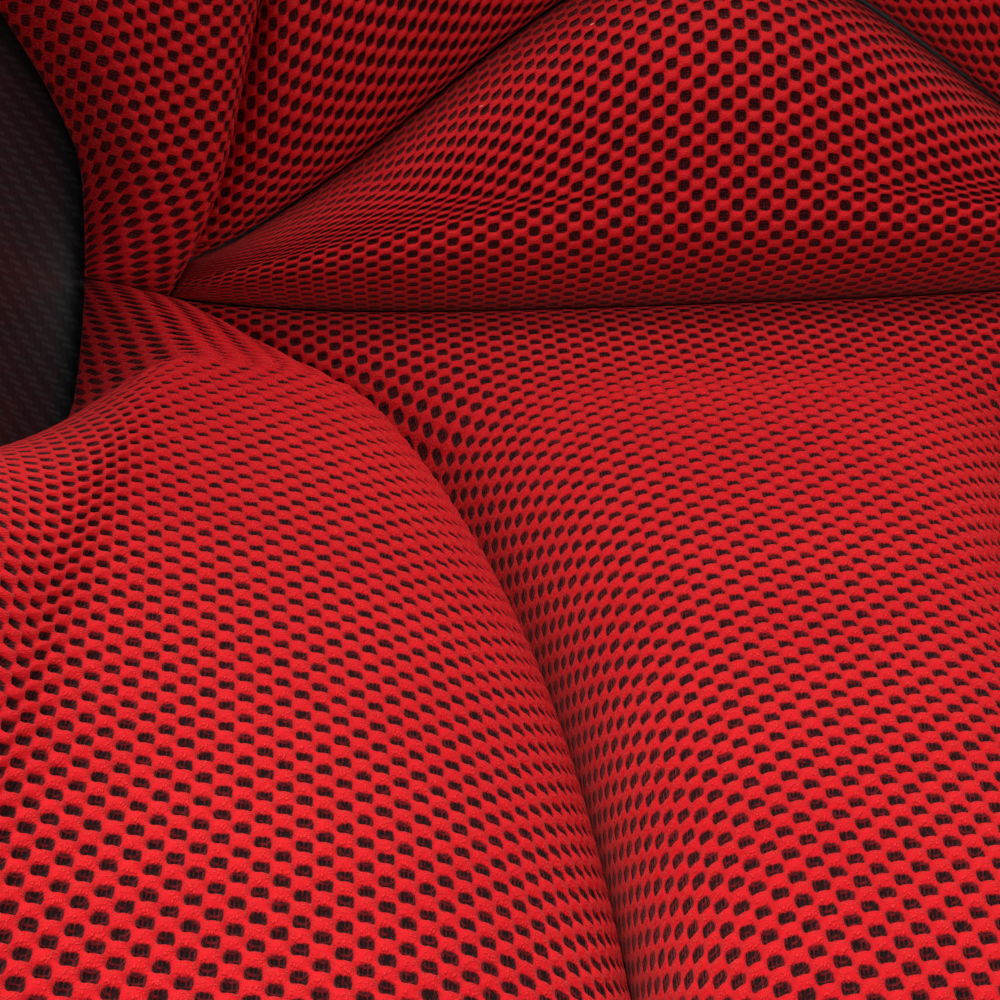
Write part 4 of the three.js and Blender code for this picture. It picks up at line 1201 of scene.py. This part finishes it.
def shader_group(name: str, inputs: dict[str, tuple[str, object]], outputs: dict[str, str]) -> tuple:
    """Starts a shader node group.

    Args:
        name: The group's name.
        inputs: Socket name to its type and default value.
        outputs: Socket name to its type.

    Returns:
        The group, a Tree of it, its input node and its output node.
    """
    group = bpy.data.node_groups.new(name, "ShaderNodeTree")
    for label, (kind, value) in inputs.items():
        socket = group.interface.new_socket(label, in_out="INPUT", socket_type=f"NodeSocket{kind}")
        if value is not None:
            socket.default_value = value
    for label, kind in outputs.items():
        group.interface.new_socket(label, in_out="OUTPUT", socket_type=f"NodeSocket{kind}")
    tree = Tree(group)
    return group, tree, tree.add("NodeGroupInput"), tree.add("NodeGroupOutput")


def grain_group() -> bpy.types.NodeTree:
    """Fine grain: noise and small round cells as a height, and slow noise as a mask of patches.

    Returns:
        The node group.
    """
    group, tree, given, put = shader_group(
        "fine_grain", {"Vector": ("Vector", None), "Scale": ("Float", 900.0)},
        {"Height": "Float", "Patch": "Float"})
    fine = tree.add("TexNoise", {"Vector": given.outputs[0], "Scale": given.outputs[1], "Detail": 3.0})
    cells = tree.add("TexVoronoi", {"Vector": given.outputs[0], "Scale": given.outputs[1]})
    slow = tree.add("TexNoise", {"Vector": given.outputs[0], "Scale": 14.0, "Detail": 4.0})
    height = tree.math("ADD", fine.outputs[0], tree.math("MULTIPLY", cells.outputs[0], 0.6))
    tree.join(height, put.inputs[0])
    tree.join(tree.ramp(slow.outputs[0], 0.35, 0.68), put.inputs[1])
    return group


def spacer_group(cloth: SpacerCloth) -> bpy.types.NodeTree:
    """The spacer mesh's pattern in its own cells.

    Holes are superellipses at each cell's corner and middle. Threads cross them as a fine grid. Stitches
    are small round cells, and pillows rise as a product of cosines.

    Args:
        cloth: The cloth whose hole sizes it shares.

    Returns:
        The node group.
    """
    group, tree, given, put = shader_group(
        "spacer_mesh", {"Vector": ("Vector", None)},
        {"Pit": "Float", "Thread": "Float", "Stitch": "Float", "Pillow": "Float", "Lint": "Float"})
    cell = given.outputs[0]
    wobble = tree.add("TexNoise", {"Vector": cell, "Scale": 2.2, "Detail": 2.0})
    shift = tree.vector("SCALE", tree.vector("SUBTRACT", wobble.outputs["Color"], (0.5, 0.5, 0.5)))
    shift.node.inputs["Scale"].default_value = cloth.wobble
    moved = tree.vector("ADD", cell, shift)
    sizes = []
    for corner in (0.5, 0.0):
        place = tree.vector("FRACTION", tree.vector("ADD", moved, (corner, corner, 0.5)))
        from_middle = tree.vector("ABSOLUTE", tree.vector("SUBTRACT", place, (0.5, 0.5, 0.5)))
        scaled = tree.vector("DIVIDE", from_middle, (cloth.hole_half_u, cloth.hole_half_v, 1.0))
        parts = tree.add("SeparateXYZ", {0: scaled})
        powers = [tree.math("POWER", parts.outputs[k], cloth.hole_power) for k in (0, 1)]
        sizes.append(tree.math("ADD", *powers))
    size = tree.math("POWER", tree.math("MINIMUM", *sizes), 1 / cloth.hole_power)
    pit = tree.ramp(size, 0.86, 1.06, 1.0, 0.0)

    lines = []
    for axis, count in enumerate(cloth.threads):
        slack = tree.vector("MULTIPLY", shift, (0.6, 0.6, 0.6))
        part = tree.add("SeparateXYZ", {0: tree.vector("ADD", cell, slack)})
        place = tree.math("FRACT", tree.math("MULTIPLY", part.outputs[axis], count))
        away = tree.math("ABSOLUTE", tree.math("SUBTRACT", place, 0.5))
        lines.append(tree.ramp(away, 0.10, 0.24, 1.0, 0.0))
    fray = tree.add("TexNoise", {"Vector": cell, "Scale": 7.0, "Detail": 3.0})
    whole = tree.ramp(fray.outputs[0], 0.30, 0.62)
    thread = tree.math("MULTIPLY", tree.math("MAXIMUM", lines[0], lines[1]), whole)

    loops = tree.add("TexVoronoi", {"Vector": tree.vector("MULTIPLY", moved, cloth.stitches), "Scale": 1.0})
    stitch = tree.ramp(loops.outputs[0], 0.04, 0.60, 1.0, 0.0)

    # The pillow wave is used only as the mask of the painted light on the pillow tops in the red mesh's
    # colour.
    angles = tree.add("SeparateXYZ", {0: tree.vector("MULTIPLY", moved, (2 * math.pi, 2 * math.pi, 0.0))})
    waves = [tree.math("COSINE", angles.outputs[k]) for k in (0, 1)]
    product = tree.math("MULTIPLY", *waves)
    pillow = tree.math("MULTIPLY_ADD", product, -0.5, 0.5)

    flecks = tree.add("TexVoronoi", {"Vector": tree.vector("MULTIPLY", cell, cloth.lint_cells), "Scale": 1.0})
    draw = tree.add("SeparateColor", {0: flecks.outputs["Color"]}).outputs[0]
    chosen = tree.math("GREATER_THAN", draw, cloth.lint_threshold)
    lint = tree.math("MULTIPLY", chosen, tree.ramp(flecks.outputs[0], 0.03, 0.07, 1.0, 0.0))
    for k, value in enumerate((pit, thread, stitch, pillow, lint)):
        tree.join(value, put.inputs[k])
    return group


@dataclass(frozen=True)
class Finish:
    """What every finish shares: its name and the constants of its shader."""

    name: str
    roughness: float = 0.5
    metallic: float = 0.0
    specular: float = 0.5

    def start(self) -> tuple[bpy.types.Material, Tree, bpy.types.Node]:
        """Makes an empty material with its shader and output.

        Returns:
            The material, its tree and its shader node.
        """
        material = bpy.data.materials.new(self.name)
        material.use_nodes = True
        tree = Tree(material.node_tree)
        shader = tree.add("BsdfPrincipled", {
            "Roughness": self.roughness, "Metallic": self.metallic, "Specular IOR Level": self.specular})
        tree.add("OutputMaterial", {0: shader.outputs[0]})
        return material, tree, shader


@dataclass(frozen=True)
class RedMesh(Finish):
    """Coarse red spacer mesh: painted highlights on the stitches and pillow tops over a painted-shade red,
    and near-black painted shade in the pits, crossed by dimmer threads.
    """

    # The first two colours are one red, shaded and lit: painted shade between the pillows, painted light on
    # the stitches and pillow tops.
    shaded_red: tuple = (0.60, 0.0020, 0.0080, 1)
    lit_red: tuple = (0.95, 0.032, 0.028, 1)
    # Near-black painted shade in the holes; the threads across them are red, dimmed with painted shade.
    pit: tuple = (0.0065, 0.0004, 0.0008, 1)
    thread: tuple = (0.155, 0.0022, 0.0060, 1)
    lint: tuple = (0.80, 0.62, 0.52, 1)
    sheen: float = 0.30
    sheen_roughness: float = 0.35
    sheen_tint: tuple = (1.0, 0.22, 0.20, 1)

    def build(self, pattern: bpy.types.NodeTree) -> bpy.types.Material:
        """Makes the material from the spacer mesh's pattern.

        Args:
            pattern: The spacer mesh's node group.

        Returns:
            The material.
        """
        material, tree, shader = self.start()
        cell = tree.add("UVMap", uv_map="cloth").outputs[0]
        mesh = tree.add("Group", node_tree=pattern)
        tree.join(cell, mesh.inputs[0])
        pit, thread, stitch, pillow, lint = mesh.outputs[:5]
        slow = tree.add("TexNoise", {"Vector": cell, "Scale": 0.11, "Detail": 3.0})
        # Painted light: the stitches and pillow tops pull the colour towards the lit red, and the rest stays
        # the painted-shade red.
        stitched = tree.math("MULTIPLY_ADD", stitch, 0.95, 0.05)
        lit = tree.math("MULTIPLY", stitched, tree.ramp(pillow, 0.30, 0.95, 0.15, 1.0))
        share = tree.math("ADD", lit, tree.ramp(slow.outputs[0], 0.3, 0.7, -0.06, 0.10))
        cloth = tree.mix(share, self.shaded_red, self.lit_red)
        cloth = tree.mix(lint, cloth, self.lint)
        # Painted shade in the holes, with the dimmed threads over it.
        under = tree.mix(thread, self.pit, self.thread)
        tree.join(tree.mix(pit, cloth, under), shader.inputs["Base Color"])
        shader.inputs["Sheen Weight"].default_value = self.sheen
        shader.inputs["Sheen Roughness"].default_value = self.sheen_roughness
        shader.inputs["Sheen Tint"].default_value = self.sheen_tint
        raised = tree.math("MULTIPLY", stitch, tree.math("SUBTRACT", 1.0, pit))
        height = tree.math("ADD", raised, tree.math("MULTIPLY", tree.math("MULTIPLY", thread, pit), 0.8))
        tree.join(tree.bump(height, 0.85, 0.00035), shader.inputs["Normal"])
        return material


@dataclass(frozen=True)
class Laminate(Finish):
    """Woven black laminate under a clear coat: two-by-two twill tows that catch the light in turn."""

    tow: float = 0.42
    # The lighter weft colour is painted reflection: tows on top catching the light, on fibre that is one
    # black.
    warp: tuple = (0.010, 0.010, 0.011, 1)
    weft: tuple = (0.034, 0.035, 0.037, 1)
    coat: float = 0.7
    coat_roughness: float = 0.10

    def build(self, grain: bpy.types.NodeTree) -> bpy.types.Material:
        """Makes the material: the weft is on top where both tow numbers sum to 2 or 3, modulo 4.

        Args:
            grain: The fine grain's node group.

        Returns:
            The material.
        """
        material, tree, shader = self.start()
        flat = tree.add("UVMap", uv_map="cloth").outputs[0]
        place = tree.vector("MULTIPLY", flat, (self.tow, self.tow, 0.0))
        tows = tree.add("SeparateXYZ", {0: tree.vector("FLOOR", place)})
        both = tree.math("MULTIPLY", tree.math("ADD", tows.outputs[0], tows.outputs[1]), 0.25)
        over = tree.math("GREATER_THAN", tree.math("FRACT", both), 0.49)
        inside = tree.add("SeparateXYZ", {0: tree.vector("FRACTION", place)})
        # Painted highlight along each tow's crown: full on the tows on top, a quarter as much on the others.
        curves = [tree.math("SINE", tree.math("MULTIPLY", inside.outputs[k], math.pi)) for k in (0, 1)]
        crown = tree.add("Mix", {0: over, 2: curves[0], 3: curves[1]}, data_type="FLOAT").outputs[0]
        shade = tree.math("MULTIPLY", crown, tree.math("MULTIPLY_ADD", over, 0.75, 0.25))
        tree.join(tree.mix(shade, self.warp, self.weft), shader.inputs["Base Color"])
        fine = tree.add("Group", {1: 60.0}, node_tree=grain)
        tree.join(tree.add("TexCoord").outputs["Object"], fine.inputs[0])
        rough = tree.math("MULTIPLY_ADD", fine.outputs[1], 0.10, self.roughness)
        tree.join(rough, shader.inputs["Roughness"])
        tree.join(tree.bump(crown, 0.25, 0.0001), shader.inputs["Normal"])
        shader.inputs["Coat Weight"].default_value = self.coat
        shader.inputs["Coat Roughness"].default_value = self.coat_roughness
        return material


@dataclass(frozen=True)
class Grained(Finish):
    """A finish of one colour with fine grain and slow patches: rubber, mouldings, powder coat and plate."""

    low: tuple = (0.010, 0.010, 0.010, 1)
    high: tuple = (0.020, 0.020, 0.020, 1)
    scale: float = 900.0
    strength: float = 0.4
    depth: float = 0.00012
    spread: float = 0.16
    stretch: tuple = (1.0, 1.0, 1.0)

    def build(self, grain: bpy.types.NodeTree) -> bpy.types.Material:
        """Makes the material from the shared grain.

        Args:
            grain: The fine grain's node group.

        Returns:
            The material.
        """
        material, tree, shader = self.start()
        place = tree.vector("MULTIPLY", tree.add("TexCoord").outputs["Object"], self.stretch)
        fine = tree.add("Group", {1: self.scale}, node_tree=grain)
        tree.join(place, fine.inputs[0])
        tree.join(tree.mix(fine.outputs[1], self.low, self.high), shader.inputs["Base Color"])
        rough = tree.math("MULTIPLY_ADD", fine.outputs[1], self.spread, self.roughness)
        tree.join(rough, shader.inputs["Roughness"])
        tree.join(tree.bump(fine.outputs[0], self.strength, self.depth), shader.inputs["Normal"])
        return material


@dataclass
class FinishBook:
    """Every finish, by the material slot that it dresses."""

    cloth: SpacerCloth

    def build(self) -> dict[Slot, bpy.types.Material]:
        """Makes all the materials, sharing the pattern and grain groups.

        Returns:
            The materials by slot.
        """
        grain = grain_group()
        pattern = spacer_group(self.cloth)
        return {
            Slot.MESH: RedMesh("red_spacer_mesh", roughness=0.78, specular=0.22).build(pattern),
            Slot.LAMINATE: Laminate("twill_laminate", roughness=0.34).build(grain),
            Slot.RUBBER: Grained("edge_rubber", roughness=0.62, scale=1400.0).build(grain),
            Slot.MOULDING: Grained("grained_moulding", roughness=0.42, scale=2200.0,
                                   low=(0.012, 0.012, 0.013, 1), high=(0.022, 0.022, 0.024, 1)).build(grain),
            Slot.CAGE: Grained("cage_moulding", roughness=0.5, low=(0.02, 0.02, 0.02, 1)).build(grain),
            Slot.TAPE: Grained("hook_tape_loops", roughness=0.9, scale=1100.0, strength=1.0, depth=0.0006,
                               high=(0.045, 0.045, 0.045, 1)).build(grain),
            Slot.POWDER_COAT: Grained("satin_powder_coat", roughness=0.40, scale=700.0, strength=0.22,
                                      low=(0.013, 0.013, 0.015, 1),
                                      high=(0.022, 0.022, 0.024, 1)).build(grain),
            Slot.ZINC: Grained("bright_zinc_plate", roughness=0.24, metallic=1.0, scale=420.0, strength=0.10,
                               low=(0.50, 0.51, 0.54, 1), high=(0.66, 0.66, 0.66, 1),
                               stretch=(1.0, 0.12, 1.0)).build(grain),
            Slot.SPRING: Grained("oiled_spring_wire", roughness=0.28, metallic=1.0, strength=0.1,
                                 low=(0.26, 0.26, 0.28, 1), high=(0.38, 0.38, 0.40, 1)).build(grain),
        }


# ---------------------------------------------------------------- studio
@dataclass(frozen=True)
class Studio:
    """The pale floor, the soft lights and the close camera over the side lobe of the cushion."""

    camera_place: tuple[float, float, float] = (-0.097, -0.402, 0.470)
    camera_pitch: float = 39.9
    camera_yaw: float = 3.6
    lens: float = 71.0
    floor_half: float = 4.0
    world_strength: float = 0.55

    def build_camera(self) -> None:
        """Makes the camera, pitched down from the level and turned towards +X."""
        data = bpy.data.cameras.new("camera")
        data.lens = self.lens
        data.clip_start = 0.01
        camera = bpy.data.objects.new("camera", data)
        camera.location = self.camera_place
        camera.rotation_euler = (math.radians(90 - self.camera_pitch), 0, -math.radians(self.camera_yaw))
        bpy.context.scene.collection.objects.link(camera)
        bpy.context.scene.camera = camera

    def build_light(self, name: str, place: tuple, target: tuple, size: float, power: float) -> None:
        """Makes a square area light that looks at a target.

        Args:
            name: The light's name.
            place: Where it hangs, in metres.
            target: The point that it looks at.
            size: The side of its square, in metres.
            power: Its power in watts.
        """
        data = bpy.data.lights.new(name, "AREA")
        data.size = size
        data.energy = power
        lamp = bpy.data.objects.new(name, data)
        lamp.location = place
        lamp.rotation_euler = (Vector(target) - Vector(place)).to_track_quat("-Z", "Y").to_euler()
        bpy.context.scene.collection.objects.link(lamp)

    def build_floor(self) -> None:
        """Makes the floor: one flat square, just under the rails."""
        half, low = self.floor_half, -0.0006
        corners = [(-half, -half, low), (half, -half, low), (half, half, low), (-half, half, low)]
        mesh = bpy.data.meshes.new("floor")
        mesh.from_pydata(corners, [], [(0, 1, 2, 3)])
        floor = bpy.data.objects.new("floor", mesh)
        bpy.context.scene.collection.objects.link(floor)
        material = bpy.data.materials.new("pale_floor")
        material.use_nodes = True
        shader = material.node_tree.nodes["Principled BSDF"]
        shader.inputs["Base Color"].default_value = (0.80, 0.79, 0.78, 1)
        shader.inputs["Roughness"].default_value = 0.7
        mesh.materials.append(material)
        floor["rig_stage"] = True

    def build(self) -> None:
        """Makes the floor, the sky, the lights and the camera."""
        self.build_floor()
        world = bpy.data.worlds.new("studio")
        world.use_nodes = True
        world.node_tree.nodes["Background"].inputs[0].default_value = (0.95, 0.96, 1.0, 1)
        world.node_tree.nodes["Background"].inputs[1].default_value = self.world_strength
        bpy.context.scene.world = world
        bpy.context.scene.view_settings.view_transform = "Standard"
        self.build_light("key", (-0.5, 0.7, 2.1), (0.0, -0.05, 0.25), 1.5, 58.0)
        self.build_light("front_fill", (-1.4, -1.8, 1.6), (0.0, 0.0, 0.4), 1.6, 20.0)
        self.build_light("side_fill", (2.0, -0.6, 1.5), (0.0, 0.1, 0.4), 1.4, 12.0)
        self.build_camera()


def main() -> None:
    """Builds the upholstery, the bucket, the release gear and the studio, and dresses the seat."""
    logging.basicConfig(level=logging.INFO, format="%(name)s: %(message)s", stream=sys.stdout)
    upholstery = Upholstery()
    parts = (upholstery, Bucket(), ReleaseGear(), PackedHardware())
    for part in parts:
        part.build()
    finishes = FinishBook(upholstery.cloth).build()
    for part in parts:
        part.dress(finishes)
    Studio().build()


if __name__ == "__main__":
    main()
